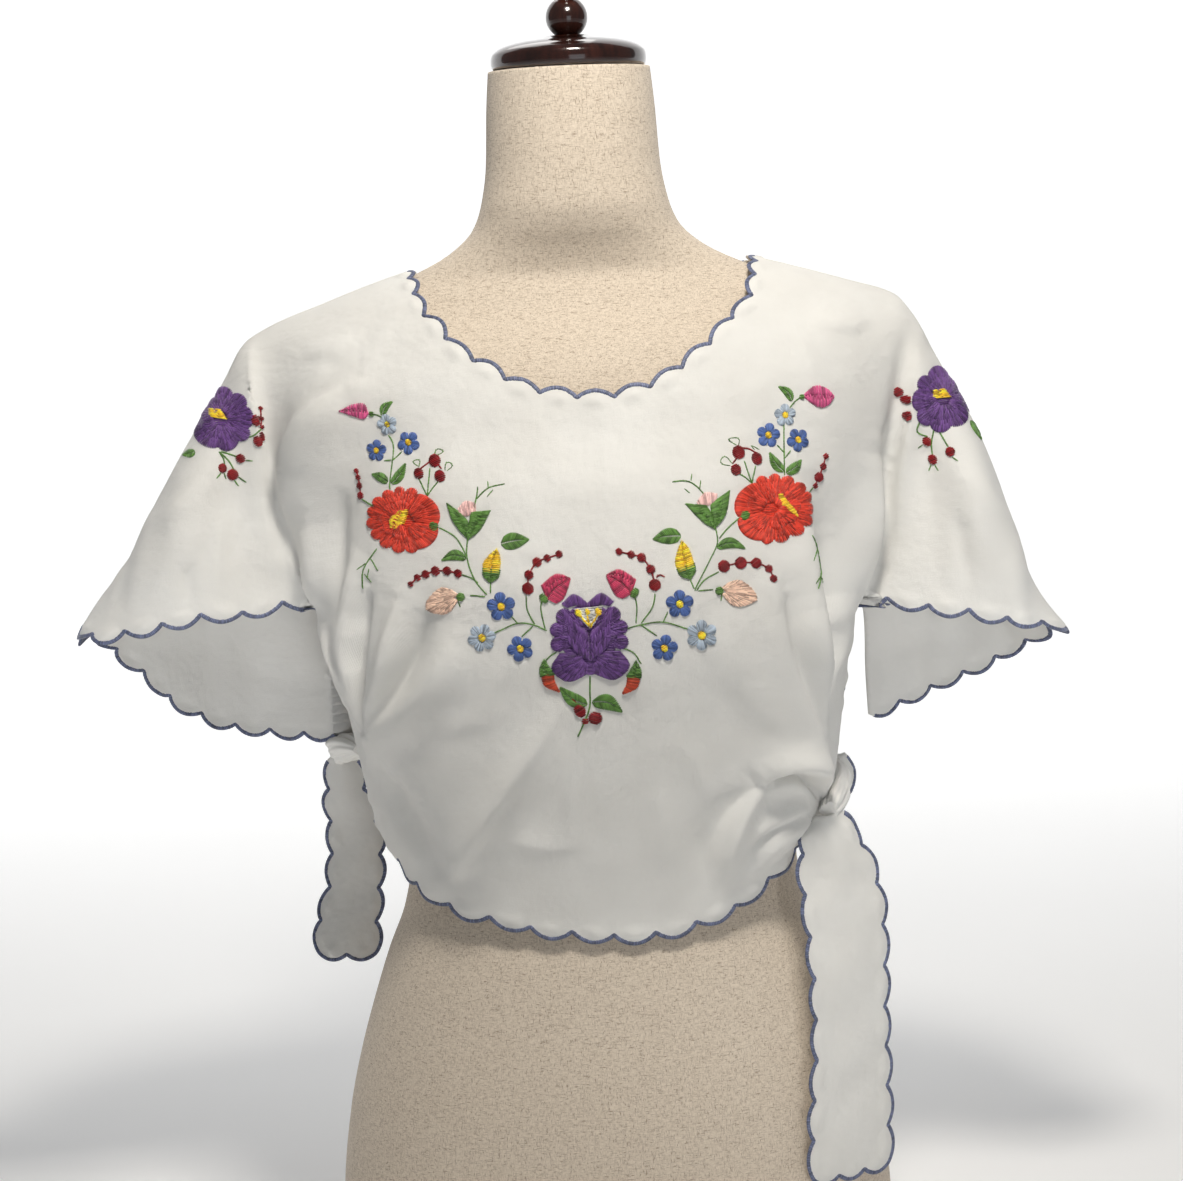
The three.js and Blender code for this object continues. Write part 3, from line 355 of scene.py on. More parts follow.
DROP_BODY = 90               # height in which the cloth turns down from the ridge
DROP_SLEEVE = 70
DROP_CHANGE = (100, 200)     # between these distances from the middle the one becomes the other
ARMPIT_DEPTH = 22
WRAP_START = 0.86            # share of the half width where the side turns away
WRAP_END = 1.75              # furthest turn, radians from facing the viewer
NO_WRAP = 300                # moves the turn beyond the cloth's reach
CORNER_WRAP = 50             # the same below the arm, where the turn fades out slowly
UNDERARM_STRETCH = 2.4       # how much faster the side turns just below the sleeve
RIDGE_FADE = 25              # folds fade out towards the ridge
CALM_REACH = 20              # and round the corner under each arm
CALM_CHANGE = (138, 165)     # where that calm sets in, from the middle
CALM_SHARE = 0.8             # how much of a fold it takes away
CORNER_CHANGE = (172, 192)   # past these distances the sleeve is free of the body
HOLLOW_CHANGE = (-5, 55)     # the sleeve's depth sets in from here, measured from the armpit's hollow
SLEEVE_CHANGE = (120, 160)   # between these distances from the middle the sleeve takes over
UNDERARM_RISE = 30           # height over which the body becomes the sleeve
STRETCH_RISE = 32
BODY_ROUNDING = 20           # rounding where body and sleeve meet
FOLD_STEPS = 10              # straight runs that a fold's curve is measured by
FOLD_LIMIT = 3.2             # a fold is nil beyond this many reaches


def shoulder_drop(s):
    return lerp(DROP_BODY, DROP_SLEEVE, smoothstep(np.abs(s), *DROP_CHANGE))


def to_cloth_height(s, z):
    """Height of a front-view point along the cloth, which turns over the ridge in a quarter ellipse."""
    ridge = ridge_at(s)
    drop = shoulder_drop(s)
    below = np.maximum(ridge - z, 0)
    turned = drop * np.arccos(np.clip(1 - below / drop, -1, 1))
    return ridge - np.where(below < drop, turned, below + drop * (math.pi / 2 - 1))


def halves(rows, x, z):
    """A table's left or right column at the given heights, by the sign of x."""
    return np.where(x < 0, at_height(rows, "left", z), at_height(rows, "right", z))


def cloth_depth(side, x, z):
    """Depth of the cloth in front of (or behind) the middle plane, away from the ridge."""
    rows = side["sections"]
    flat = at_height(rows, "flat", z)
    edge = at_height(rows, "edge", z)
    t = np.clip(np.abs(x) / halves(rows, x, z), 0, 1)
    body = at_height(rows, "depth", z) * (1 - t ** flat) ** (1 / edge)
    hollow = halves(ARMPIT, x, z)
    outward = smoothstep(np.abs(x) - hollow, *HOLLOW_CHANGE)
    sleeve = lerp(ARMPIT_DEPTH, side["sleeve_depth"], outward)
    underarm = np.where(x < 0, side["underarm_left"], side["underarm_right"])
    on_sleeve = smoothstep(z, underarm - UNDERARM_RISE, underarm)
    on_sleeve = on_sleeve * smoothstep(np.abs(x), *SLEEVE_CHANGE)
    outside = smoothstep(np.abs(x), side["flap_start"] - 4, side["flap_start"])
    return lerp(body, soft_max(body, sleeve, BODY_ROUNDING), np.maximum(on_sleeve, outside))


def plain_point(side, s, height):
    """Middle of the cloth's wall, without folds."""
    ridge = ridge_at(s)
    drop = shoulder_drop(s)
    run = np.maximum(ridge - height, 0)
    turn = np.minimum(run / drop, math.pi / 2)
    z = ridge - drop * (1 - np.cos(turn)) - np.maximum(run - drop * math.pi / 2, 0)
    width = halves(side["sections"], s, z)
    underarm = np.where(s < 0, side["underarm_left"], side["underarm_right"])
    past_corner = smoothstep(np.abs(s), *CORNER_CHANGE)
    freed = smoothstep(z, underarm - lerp(4, 16, past_corner), underarm + lerp(34, -9, past_corner))
    on_flap = np.abs(s) > side["flap_start"] - 2
    free_reach = freed * lerp(CORNER_WRAP, NO_WRAP, past_corner)
    wrap_from = WRAP_START * width + np.where(on_flap, NO_WRAP, free_reach)
    stretch = lerp(1, UNDERARM_STRETCH, smoothstep(z, underarm - STRETCH_RISE, underarm))
    sign = np.sign(s)
    ridge_y = ridge_at(s, "y")
    straight = cloth_depth(side, s, z) * np.sin(turn)
    straight_y = side["sign"] * straight + ridge_y * (1 - np.sin(turn))
    depth = cloth_depth(side, sign * wrap_from, z)
    start = np.arctan(depth - cloth_depth(side, sign * (wrap_from + 1), z))
    shoulder = WRAP_START * width
    at_shoulder = cloth_depth(side, sign * shoulder, z) - cloth_depth(side, sign * (shoulder + 1), z)
    radius = (width - shoulder) / (1 - np.sin(np.arctan(at_shoulder)))
    beyond = (np.abs(s) - wrap_from) * stretch
    angle = np.minimum(start + beyond / radius, WRAP_END)
    rest = beyond - radius * (angle - start)
    x = wrap_from + radius * (np.sin(angle) - np.sin(start)) + rest * np.cos(angle)
    back = radius * (np.cos(start) - np.cos(angle)) + rest * np.sin(angle)
    wraps = np.abs(s) > wrap_from
    return np.stack([
        np.where(wraps, sign * x, s),
        np.where(wraps, side["sign"] * (depth - back), straight_y),
        z,
    ], -1)


def normal_of(surface, s, height, outward):
    """Unit normals of a surface function, pointing out of the garment."""
    step = 0.5
    across = surface(s + step, height) - surface(s - step, height)
    up = surface(s, height + step) - surface(s, height - step)
    return unit(np.cross(across, up)) * outward


def fold_lift(folds, s, z):
    """How far the folds lift the cloth at front-view points."""
    lift = np.zeros(np.shape(s))
    for k in range(len(folds["s0"])):
        row = {name: column[k] for name, column in folds.items()}
        far = FOLD_LIMIT * max(row["left"], row["right"])
        run_s = [row["s0"], row["s1"], row["s2"]]
        run_z = [row["z0"], row["z1"], row["z2"]]
        near = (s > min(run_s) - far) & (s < max(run_s) + far)
        near &= (z > min(run_z) - far) & (z < max(run_z) + far)
        if near.any():
            lift[near] += one_fold(row, s[near], z[near])
    return lift


def one_fold(row, s, z):
    """One fold's lift: a soft ridge or trough along a bent run, tapered at both ends."""
    t = np.linspace(0, 1, FOLD_STEPS + 1)
    run_s = (1 - t) ** 2 * row["s0"] + 2 * t * (1 - t) * row["s1"] + t * t * row["s2"]
    run_z = (1 - t) ** 2 * row["z0"] + 2 * t * (1 - t) * row["z1"] + t * t * row["z2"]
    nearest = np.full(s.shape, np.inf)
    side = np.zeros(s.shape)
    place = np.zeros(s.shape)
    for i in range(FOLD_STEPS):
        ds = run_s[i + 1] - run_s[i]
        dz = run_z[i + 1] - run_z[i]
        along = np.clip(((s - run_s[i]) * ds + (z - run_z[i]) * dz) / (ds * ds + dz * dz), 0, 1)
        off_s = s - run_s[i] - along * ds
        off_z = z - run_z[i] - along * dz
        distance = np.hypot(off_s, off_z)
        closer = distance < nearest
        nearest = np.where(closer, distance, nearest)
        side = np.where(closer, np.sign(ds * off_z - dz * off_s), side)
        place = np.where(closer, (i + along) / FOLD_STEPS, place)
    reach = np.where(side > 0, row["left"], row["right"])
    taper = np.sin(math.pi * np.clip(place, 0.03, 0.97)) ** 0.7
    return row["height"] * taper * np.exp(-((nearest / reach) ** 2))


def cloth_surface(side):
    """The cloth's surface function for one side, with its folds and creases."""
    def plain(s, height):
        return plain_point(side, s, height)

    def surface(s, height):
        point = plain(s, height)
        fade = smoothstep(ridge_at(s) - height, 0, RIDGE_FADE)
        z = point[..., 2]
        underarm = np.where(s < 0, side["underarm_left"], side["underarm_right"])
        calm = smoothstep(np.abs(s), *CALM_CHANGE) * np.exp(-(((z - underarm) / CALM_REACH) ** 2))
        lift = fold_lift(side["folds"], s, z) + fold_lift(side["creases"], s, z)
        lift = lift * (1 - CALM_SHARE * calm) * fade
        return point + normal_of(plain, s, height, -side["sign"]) * lift[..., None]

    return surface


def skin_of(surface, outward):
    """A function giving points and outward normals of a surface."""
    def skin(s, height):
        return surface(s, height), normal_of(surface, s, height, outward)

    return skin


SKIN_LEFT = -340             # the panels' sampled skins reach this far
SKIN_RIGHT = 320
SKIN_LOW = 160
SKIN_HIGH = 664
SKIN_STEP = 1.5


def sampled_skin(surface, outward):
    """The same from an even grid, sampled once, for the many points of the stitches."""
    s = np.arange(SKIN_LEFT, SKIN_RIGHT, SKIN_STEP)
    height = np.arange(SKIN_LOW, SKIN_HIGH, SKIN_STEP)
    points = surface(*np.meshgrid(s, height))
    up, across = np.gradient(points, axis=(0, 1))
    grid = np.concatenate([points, unit(np.cross(across, up)) * outward], -1)

    def skin(at_s, at_height):
        column = np.clip((at_s - SKIN_LEFT) / SKIN_STEP, 0, len(s) - 1.001)
        row = np.clip((at_height - SKIN_LOW) / SKIN_STEP, 0, len(height) - 1.001)
        i, k = row.astype(int), column.astype(int)
        v, u = (row - i)[..., None], (column - k)[..., None]
        low = lerp(grid[i, k], grid[i, k + 1], u)
        high = lerp(grid[i + 1, k], grid[i + 1, k + 1], u)
        value = lerp(low, high, v)
        return value[..., :3], unit(value[..., 3:])

    return skin


# ---------------------------------------------------------------- outlines

EDGE_STEP = 1.6              # spacing of an outline's points
POINTS_AT_ONCE = 1500        # points compared with an outline in one go, to spare memory


def spline_points(points, samples=24):
    """A smooth curve through points, as many close ones."""
    padded = np.vstack([points[:1], points, points[-1:]])
    t = np.linspace(0, 1, samples, endpoint=False)[:, None]
    runs = []
    for i in range(len(points) - 1):
        a, b, c, d = padded[i:i + 4]
        into = (c - a) / 2
        out = (d - b) / 2
        cubic = (2 * b - 2 * c + into + out) * t ** 3
        runs.append(cubic + (3 * c - 3 * b - 2 * into - out) * t ** 2 + into * t + b)
    return np.vstack(runs + [points[-1:]])


def evenly(points, count):
    """Points of a polyline at even distances, its first included and its last left out."""
    lengths = np.concatenate([[0], np.cumsum(np.linalg.norm(np.diff(points, axis=0), axis=1))])
    at = np.arange(count) / count * lengths[-1]
    return np.stack([np.interp(at, lengths, points[:, k]) for k in range(points.shape[1])], 1)


def polyline_length(points):
    return np.linalg.norm(np.diff(points, axis=0), axis=1).sum()


def edge_points(rows, place, pitch=0, depth=SCALLOP_DEPTH):
    """One edge's points and, with a pitch, its scallops' swell at each; they bulge left of its run."""
    spline = spline_points(np.stack(place(rows["s"], rows["z"]), 1))
    length = polyline_length(spline)
    arcs = max(1, round(length / pitch)) if pitch else 1
    count = arcs * max(2, math.ceil(length / arcs / EDGE_STEP))
    points = evenly(spline, count)
    run = np.roll(points, -1, 0) - np.roll(points, 1, 0)
    run[0] = points[1] - points[0]
    run[-1] = points[-1] - points[-2]
    run /= np.linalg.norm(run, axis=1, keepdims=True)
    if not pitch:
        return np.column_stack([points, np.zeros(count)])
    swell = np.abs(np.sin(math.pi * arcs * np.arange(count) / count))
    points = points + np.stack([-run[:, 1], run[:, 0]], 1) * (depth * swell ** 0.8)[:, None]
    return np.column_stack([points, swell])


def ridge_points(start, end):
    x = np.linspace(start, end, math.ceil((end - start) / EDGE_STEP), endpoint=False)
    return np.stack([x, ridge_at(x), 0 * x], 1)


def on_cloth(s, z):
    return s, to_cloth_height(s, z)


def stitched_part(points, first, last):
    """An edge of which only the part between two shares of its length shows its stitching."""
    low = round(first * len(points))
    high = round(last * len(points))
    parts = [(points[:low], False), (points[low:high], True), (points[high:], False)]
    return [part for part in parts if len(part[0])]


# Each part of an outline: its points, and whether it is stitched.
def front_outline():
    return [
        (ridge_points(-322, -107), False),
        (edge_points(FRONT_NECK, on_cloth, NECK_PITCH, NECK_SCALLOP_DEPTH), True),
        (ridge_points(112, 298), False),
        (edge_points(FRONT_SLEEVE_RIGHT, on_cloth, SLEEVE_PITCH), True),
        *stitched_part(edge_points(FRONT_SIDE_RIGHT, on_cloth, BODY_PITCH), 0.4, 1),
        *stitched_part(edge_points(FRONT_HEM, on_cloth, BODY_PITCH), 0, 0.8),
        *stitched_part(edge_points(FRONT_SIDE_LEFT, on_cloth, BODY_PITCH), 0, 0.55),
        *stitched_part(edge_points(FRONT_SLEEVE_LEFT, on_cloth, SLEEVE_PITCH), 0, 1),
    ]


def back_outline():
    return [
        (ridge_points(-324, -107), False),
        *stitched_part(edge_points(BACK_NECK, on_cloth, NECK_PITCH, NECK_SCALLOP_DEPTH), 0.07, 0.93),
        (ridge_points(112, 300), False),
        (edge_points(BACK_SLEEVE_RIGHT, on_cloth, SLEEVE_PITCH), True),
        (edge_points(BACK_FLAP_RIGHT, on_cloth), False),
        *stitched_part(edge_points(BACK_SIDE_RIGHT, on_cloth, BODY_PITCH, SIDE_SCALLOP_DEPTH), 0.25, 1),
        (edge_points(BACK_HEM, on_cloth, BODY_PITCH), True),
        *stitched_part(edge_points(BACK_SIDE_LEFT, on_cloth, BODY_PITCH, SIDE_SCALLOP_DEPTH), 0, 0.75),
        (edge_points(BACK_FLAP_LEFT, on_cloth), False),
        (edge_points(BACK_SLEEVE_LEFT, on_cloth, SLEEVE_PITCH), True),
    ]


FRONT = {
    "sign": -1, "sections": FRONT_SECTIONS, "sleeve_depth": 46, "folds": FRONT_FOLDS,
    "creases": FRONT_CREASES, "underarm_left": 430, "underarm_right": 412, "flap_start": 226,
}
BACK = {
    "sign": 1, "sections": BACK_SECTIONS, "sleeve_depth": 56, "folds": BACK_FOLDS,
    "creases": BACK_CREASES, "underarm_left": 424, "underarm_right": 420, "flap_start": 170,
}


def tie_surface(rows):
    def width(z):
        across = at_height(rows, "x1", z) - at_height(rows, "x0", z)
        away = at_height(rows, "y1", z) - at_height(rows, "y0", z)
        return np.hypot(across, away)

    def surface(s, z):
        t = s / width(z) + 0.5
        x = lerp(at_height(rows, "x0", z), at_height(rows, "x1", z), t)
        y = lerp(at_height(rows, "y0", z), at_height(rows, "y1", z), t)
        bow = at_height(rows, "bow", z) * np.cos(math.pi * (t - 0.5))
        middle = np.sin(math.pi * np.clip(t, 0, 1))
        ripple = middle * (1.6 * np.sin(z / 19 + 2.4 * t) + 1.1 * middle * np.sin(z / 8.3 - 4 * t + 1))
        return np.stack([x, y + bow + ripple, z + 0 * s], -1)

    return surface, width


def tie_outline(rows, width):
    top = rows["z"][-1]
    inset = SCALLOP_DEPTH * 0.6
    bottom = rows["z"][0] + inset
    heights = np.array([top, *rows["z"][1:-1][::-1], bottom])
    half = width(heights) / 2 - inset
    shares = np.array([1, 0.33, -0.33, -1])

    def flat(s, z):
        return s, z

    head = {"s": np.array([-half[0], half[0]]), "z": np.array([top, top])}
    right = {"s": half, "z": heights}
    foot = {"s": half[-1] * shares, "z": np.full(4, bottom)}
    left = {"s": -half[::-1], "z": heights[::-1]}
    return [
        (edge_points(head, flat), False),
        (edge_points(right, flat, TIE_PITCH, TIE_SCALLOP_DEPTH), True),
        (edge_points(foot, flat, TIE_PITCH * 0.7, TIE_SCALLOP_DEPTH), True),
        (edge_points(left, flat, TIE_PITCH, TIE_SCALLOP_DEPTH), True),
    ]


# ---------------------------------------------------------------- meshes


def add_object(name, points, faces, smooth=None):
    """A mesh object from points in millimetres. Smooth says of each face whether it is shaded so."""
    mesh = bpy.data.meshes.new(name)
    mesh.from_pydata((np.reshape(points, (-1, 3)) * MM).tolist(), [], faces)
    mesh.validate()
    mesh.polygons.foreach_set("use_smooth", smooth or [True] * len(mesh.polygons))
    mesh.update()
    obj = bpy.data.objects.new(name, mesh)
    bpy.context.scene.collection.objects.link(obj)
    return obj


def add_attribute(obj, name, kind, slot, values):
    attribute = obj.data.attributes.new(name, kind, "POINT")
    attribute.data.foreach_set(slot, np.ravel(values).astype(np.float32))


def ring_quads(count, around):
    """Faces between neighbouring rings of a tube, by the places of their points."""
    i, k = np.meshgrid(np.arange(count - 1), np.arange(around), indexing="ij")
    following = (k + 1) % around
    near, far = i * around, (i + 1) * around
    return np.stack([near + k, near + following, far + following, far + k], -1).reshape(-1, 4)


def end_faces(count, around, start=0):
    """The two faces that close a tube."""
    last = start + (count - 1) * around
    return [list(range(start, start + around))[::-1], list(range(last, last + around))]


def inside(outline, points):
    """Whether each point lies inside a closed outline."""
    result = np.zeros(len(points), bool)
    x, y = points[:, 0], points[:, 1]
    for a, b in zip(outline, np.roll(outline, -1, 0)):
        if a[1] != b[1]:
            crossing = (a[1] > y) != (b[1] > y)
            result ^= crossing & (x < a[0] + (y - a[1]) * (b[0] - a[0]) / (b[1] - a[1]))
    return result


def lattice(outline, spacing):
    """Points on an even triangular lattice inside the outline, clear of its edge."""
    low, high = outline.min(0), outline.max(0)
    rise = spacing * math.sqrt(0.75)
    rows = []
    for row in range(math.ceil((high[1] - low[1]) / rise)):
        x = np.arange(low[0] + (row % 2) * spacing / 2, high[0], spacing)
        rows.append(np.stack([x, np.full(len(x), low[1] + (row + 0.5) * rise)], 1))
    points = np.vstack(rows)
    points = points[inside(outline, points)]
    clear = np.ones(len(points), bool)
    for start in range(0, len(points), POINTS_AT_ONCE):
        block = points[start:start + POINTS_AT_ONCE]
        gap = np.hypot(block[:, :1] - outline[:, 0], block[:, 1:] - outline[:, 1]).min(1)
        clear[start:start + POINTS_AT_ONCE] = gap > spacing * 0.5
    return points[clear]


def finer(points, outline, patch):
    """The points with those inside a patch (its low corner, high corner, spacing) on a finer lattice."""
    low, high, spacing = np.array(patch[0]), np.array(patch[1]), patch[2]
    within = ((points > low) & (points < high)).all(1)
    close = lattice(outline, spacing)
    return np.vstack([points[~within], close[((close > low) & (close < high)).all(1)]])


def triangulate(outline, spacing, patches):
    """Triangles that fill an outline, with points spread evenly over it."""
    points = lattice(outline, spacing)
    for patch in patches:
        points = finer(points, outline, patch)
    points = np.vstack([outline, points])
    count = len(outline)
    edges = [(i, (i + 1) % count) for i in range(count)]
    flat = [Vector(point) for point in points]
    found = delaunay_2d_cdt(flat, edges, [], 0, 1e-4, False)
    places = np.array([tuple(v) for v in found[0]])
    triangles = np.array([tuple(f) for f in found[2]])
    return places, triangles[inside(outline, places[triangles].mean(1))]


PUFF_HEIGHT = 1.6            # the cloth swells behind each scallop
PUFF_START = 2.0             # from this distance to the edge
PUFF_WIDTH = 10.0


def puff_lift(outline, places):
    """How far the cloth swells behind the scallops, pulled together by their stitches."""
    border = np.vstack([points for points, _ in outline])
    lift = np.zeros(len(places))
    for start in range(0, len(places), POINTS_AT_ONCE):
        block = places[start:start + POINTS_AT_ONCE]
        gap = np.hypot(block[:, :1] - border[:, 0], block[:, 1:] - border[:, 1])
        nearest = gap.argmin(1)
        into = np.clip((gap[np.arange(len(block)), nearest] - PUFF_START) / PUFF_WIDTH, 0, 1)
        lift[start:start + POINTS_AT_ONCE] = PUFF_HEIGHT * border[nearest, 2] * np.sin(math.pi * into) ** 2
    return lift


def add_shell(name, outline, spacing, surface, outward, patches=()):
    """A thin closed cloth wall on a surface. Its place attribute follows the weave, in metres."""
    border = np.vstack([points for points, _ in outline])[:, :2]
    places, triangles = triangulate(border, spacing, patches)
    corners = places[triangles]
    twice = np.cross(corners[:, 1] - corners[:, 0], corners[:, 2] - corners[:, 0])
    triangles[twice < 0] = triangles[twice < 0][:, [0, 2, 1]]
    middle = surface(places[:, 0], places[:, 1])
    a, b, c = (middle[triangles[:, k]] for k in range(3))
    facing = np.cross(b - a, c - a) * outward
    normal = np.zeros_like(middle)
    for k in range(3):
        np.add.at(normal, triangles[:, k], facing)
    normal = unit(normal)
    middle += normal * puff_lift(outline, places)[:, None]
    vertices = np.vstack([middle + normal * CLOTH_WALL / 2, middle - normal * CLOTH_WALL / 2])
    far = len(places)
    top = triangles if outward > 0 else triangles[:, [0, 2, 1]]
    directed = np.vstack([top[:, [0, 1]], top[:, [1, 2]], top[:, [2, 0]]])
    keys = {(int(a), int(b)) for a, b in directed}
    rim = np.array([(a, b) for a, b in keys if (b, a) not in keys])
    rim = rim[np.lexsort((rim[:, 1], rim[:, 0]))]
    sides = np.vstack([
        np.stack([rim[:, 1], rim[:, 0], rim[:, 0] + far], 1),
        np.stack([rim[:, 1], rim[:, 0] + far, rim[:, 1] + far], 1),
    ])
    faces = np.vstack([top, top[:, [0, 2, 1]] + far, sides])
    obj = add_object(name, vertices, faces.tolist())
    place = np.column_stack([places, np.zeros(far)]) * MM
    add_attribute(obj, "cloth_place", "FLOAT_VECTOR", "vector", np.vstack([place, place]))
    return obj


def add_tube(name, rings):
    """A closed skin through rings of equal point counts, each ring running round the piece."""
    count, around = np.shape(rings)[:2]
    faces = ring_quads(count, around).tolist() + end_faces(count, around)
    return add_object(name, rings, faces, [len(face) == 4 for face in faces])


# ---------------------------------------------------------------- satin-stitched edging

STITCH_PITCH = 1.05          # one thread of the edging
EDGING_TRIM = 7              # half threads left out at each end of a run
# The edging's section: distance into the cloth from its edge, height off the cloth's middle.
EDGING_SECTION = [
    (2.1, 0.25), (1.8, 0.78), (1.1, 1.05), (0.3, 0.95), (-0.35, 0.62), (-0.55, 0.0), (-0.35, -0.58),
    (0.3, -0.80), (1.2, -0.75), (1.9, -0.30),
]
VALLEY = 0.74                # height of the groove between two threads
RAGGED = 0.18                # how unevenly the threads end
TANGENT_WINDOW = 2           # points ahead and behind that give the edge's direction


def edging_rings(points, skin, outward, seed):
    """Rings of the stitched edging along an open run of an outline."""
    length = polyline_length(points)
    count = max(4, 2 * round(length / STITCH_PITCH))
    run = evenly(points, count)[EDGING_TRIM:-EDGING_TRIM]
    count = len(run)
    ahead = run[np.minimum(np.arange(count) + TANGENT_WINDOW, count - 1)]
    behind = run[np.maximum(np.arange(count) - TANGENT_WINDOW, 0)]
    tangent = unit(ahead - behind)
    inward = np.stack([tangent[:, 1], -tangent[:, 0]], 1)
    ragged = np.random.default_rng(seed).uniform(-RAGGED, RAGGED, count)
    swell = np.where(np.arange(count) % 2, 1, VALLEY)
    rings = []
    for distance, height in EDGING_SECTION:
        reach = distance + (ragged if distance > 1.2 else 0)
        at = run + inward * np.reshape(reach, (-1, 1))
        point, normal = skin(at[:, 0], at[:, 1])
        lift = height * swell if abs(height) > 0.4 else np.full(count, height)
        rings.append(point + normal * lift[:, None])
    rings = np.stack(rings, 1)
    return rings if outward < 0 else rings[:, ::-1]


def add_edging(name, outline, skin, outward):
    """The stitched edging of one piece: one closed skin for each stitched run."""
    vertices = []
    faces = []
    tones = []
    start = 0
    run = []
    runs = []
    for points, stitched in [*outline, (outline[0][0], False)]:
        if stitched:
            run.append(points[:, :2])
        elif run:
            runs.append(np.vstack(run + [points[:1, :2]]))
            run = []
    for seed, points in enumerate(runs):
        rings = edging_rings(points, skin, outward, seed)
        count, around = rings.shape[:2]
        faces += (ring_quads(count, around) + start).tolist() + end_faces(count, around, start)
        vertices.append(rings.reshape(-1, 3))
        stitch = np.random.default_rng(seed + 50).uniform(0.15, 1, count)
        # each thread takes a random tone; the grooves between threads take 0.05, which darkens them:
        # painted shade in the grooves
        tones.append(np.repeat(np.where(np.arange(count) % 2, stitch, 0.05), around))
        start += count * around
    obj = add_object(name, np.vstack(vertices), faces)
    add_attribute(obj, "thread_tone_and_groove_shade", "FLOAT", "value", np.concatenate(tones))
    return obj


# ---------------------------------------------------------------- materials


def new_material(name, roughness, **inputs):
    """A Principled material; returns the material, its nodes, links and shader."""
    material = bpy.data.materials.new(name)
    material.use_nodes = True
    nodes = material.node_tree.nodes
    shader = nodes["Principled BSDF"]
    shader.inputs["Roughness"].default_value = roughness
    for socket, value in inputs.items():
        shader.inputs[socket.replace("_", " ")].default_value = value
    return material, nodes, material.node_tree.links, shader


def add_node(nodes, kind, inputs=None, **settings):
    node = nodes.new("ShaderNode" + kind)
    for name, value in settings.items():
        setattr(node, name, value)
    for name, value in (inputs or {}).items():
        node.inputs[name].default_value = value
    return node


def noise(nodes, links, place, scale, detail=3.0, roughness=0.55):
    node = add_node(nodes, "TexNoise", {"Scale": scale, "Detail": detail, "Roughness": roughness})
    links.new(place, node.inputs["Vector"])
    return node.outputs["Fac"]


def ramp(nodes, links, factor, stops):
    """A colour ramp from (position, colour) stops."""
    node = add_node(nodes, "ValToRGB")
    elements = node.color_ramp.elements
    while len(elements) < len(stops):
        elements.new(0.5)
    for element, (position, colour) in zip(elements, stops):
        element.position = position
        element.color = (*colour, 1)
    links.new(factor, node.inputs["Fac"])
    return node.outputs["Color"]


def maths(nodes, links, operation, a, b=None):
    node = add_node(nodes, "Math", operation=operation)
    for socket, value in zip(node.inputs, (a, b)):
        if value is None:
            continue
        if isinstance(value, (int, float)):
            socket.default_value = value
        else:
            links.new(value, socket)
    return node.outputs["Value"]


def stretched(nodes, links, place, scale):
    """The place with each axis scaled, for drawn-out patterns."""
    node = add_node(nodes, "Mapping", {"Scale": scale})
    links.new(place, node.inputs["Vector"])
    return node.outputs["Vector"]


def bump(nodes, links, height, strength, distance):
    node = add_node(nodes, "Bump", {"Strength": strength, "Distance": distance})
    links.new(height, node.inputs["Height"])
    return node


def weave_height(nodes, links, place, pitch):
    """A plain weave: threads over and under each other, each pitch metres wide."""
    split = add_node(nodes, "SeparateXYZ")
    links.new(place, split.inputs["Vector"])
    waves = []
    for axis in ("X", "Y"):
        turned = maths(nodes, links, "MULTIPLY", split.outputs[axis], math.pi / pitch)
        waves.append(maths(nodes, links, "SINE", turned))
    crossed = maths(nodes, links, "MULTIPLY", waves[0], waves[1])
    return maths(nodes, links, "ABSOLUTE", crossed)


def cotton_material():
    material, nodes, links, shader = new_material(
        "white_cotton", 0.86, Sheen_Weight=0.12, Sheen_Roughness=0.5, Specular_IOR_Level=0.25)
    place = add_node(nodes, "Attribute", attribute_name="cloth_place").outputs["Vector"]
    mottle = noise(nodes, links, place, 16, 4)
    colour = ramp(nodes, links, mottle, [
        (0.3, (0.79, 0.78, 0.75)), (0.7, (0.85, 0.845, 0.82)),
    ])
    links.new(colour, shader.inputs["Base Color"])
    height = weave_height(nodes, links, place, 0.00045)
    for scale in ((1, 7, 1), (7, 1, 1)):
        slubs = noise(nodes, links, stretched(nodes, links, place, scale), 260, 3, 0.6)
        height = maths(nodes, links, "ADD", height, slubs)
    rumple = noise(nodes, links, place, 34, 3, 0.5)
    soft = bump(nodes, links, rumple, 0.6, 0.005)
    fine = bump(nodes, links, height, 0.6, 0.0003)
    links.new(soft.outputs["Normal"], fine.inputs["Normal"])
    links.new(fine.outputs["Normal"], shader.inputs["Normal"])
    return material


def linen_material():
    material, nodes, links, shader = new_material(
        "natural_linen", 0.93, Sheen_Weight=0.1, Sheen_Roughness=0.6, Specular_IOR_Level=0.2)
    place = add_node(nodes, "TexCoord").outputs["Object"]
    flecks_across = noise(nodes, links, stretched(nodes, links, place, (1, 1, 5)), 300, 4, 0.7)
    flecks_upward = noise(nodes, links, stretched(nodes, links, place, (4, 4, 1)), 340, 4, 0.7)
    flecks = maths(nodes, links, "MAXIMUM", flecks_across, flecks_upward)
    colour = ramp(nodes, links, flecks, [
        (0.44, (0.71, 0.625, 0.52)), (0.57, (0.59, 0.505, 0.41)), (0.68, (0.29, 0.225, 0.17)),
    ])
    links.new(colour, shader.inputs["Base Color"])
    links.new(bump(nodes, links, flecks, 0.35, 0.0003).outputs["Normal"], shader.inputs["Normal"])
    return material


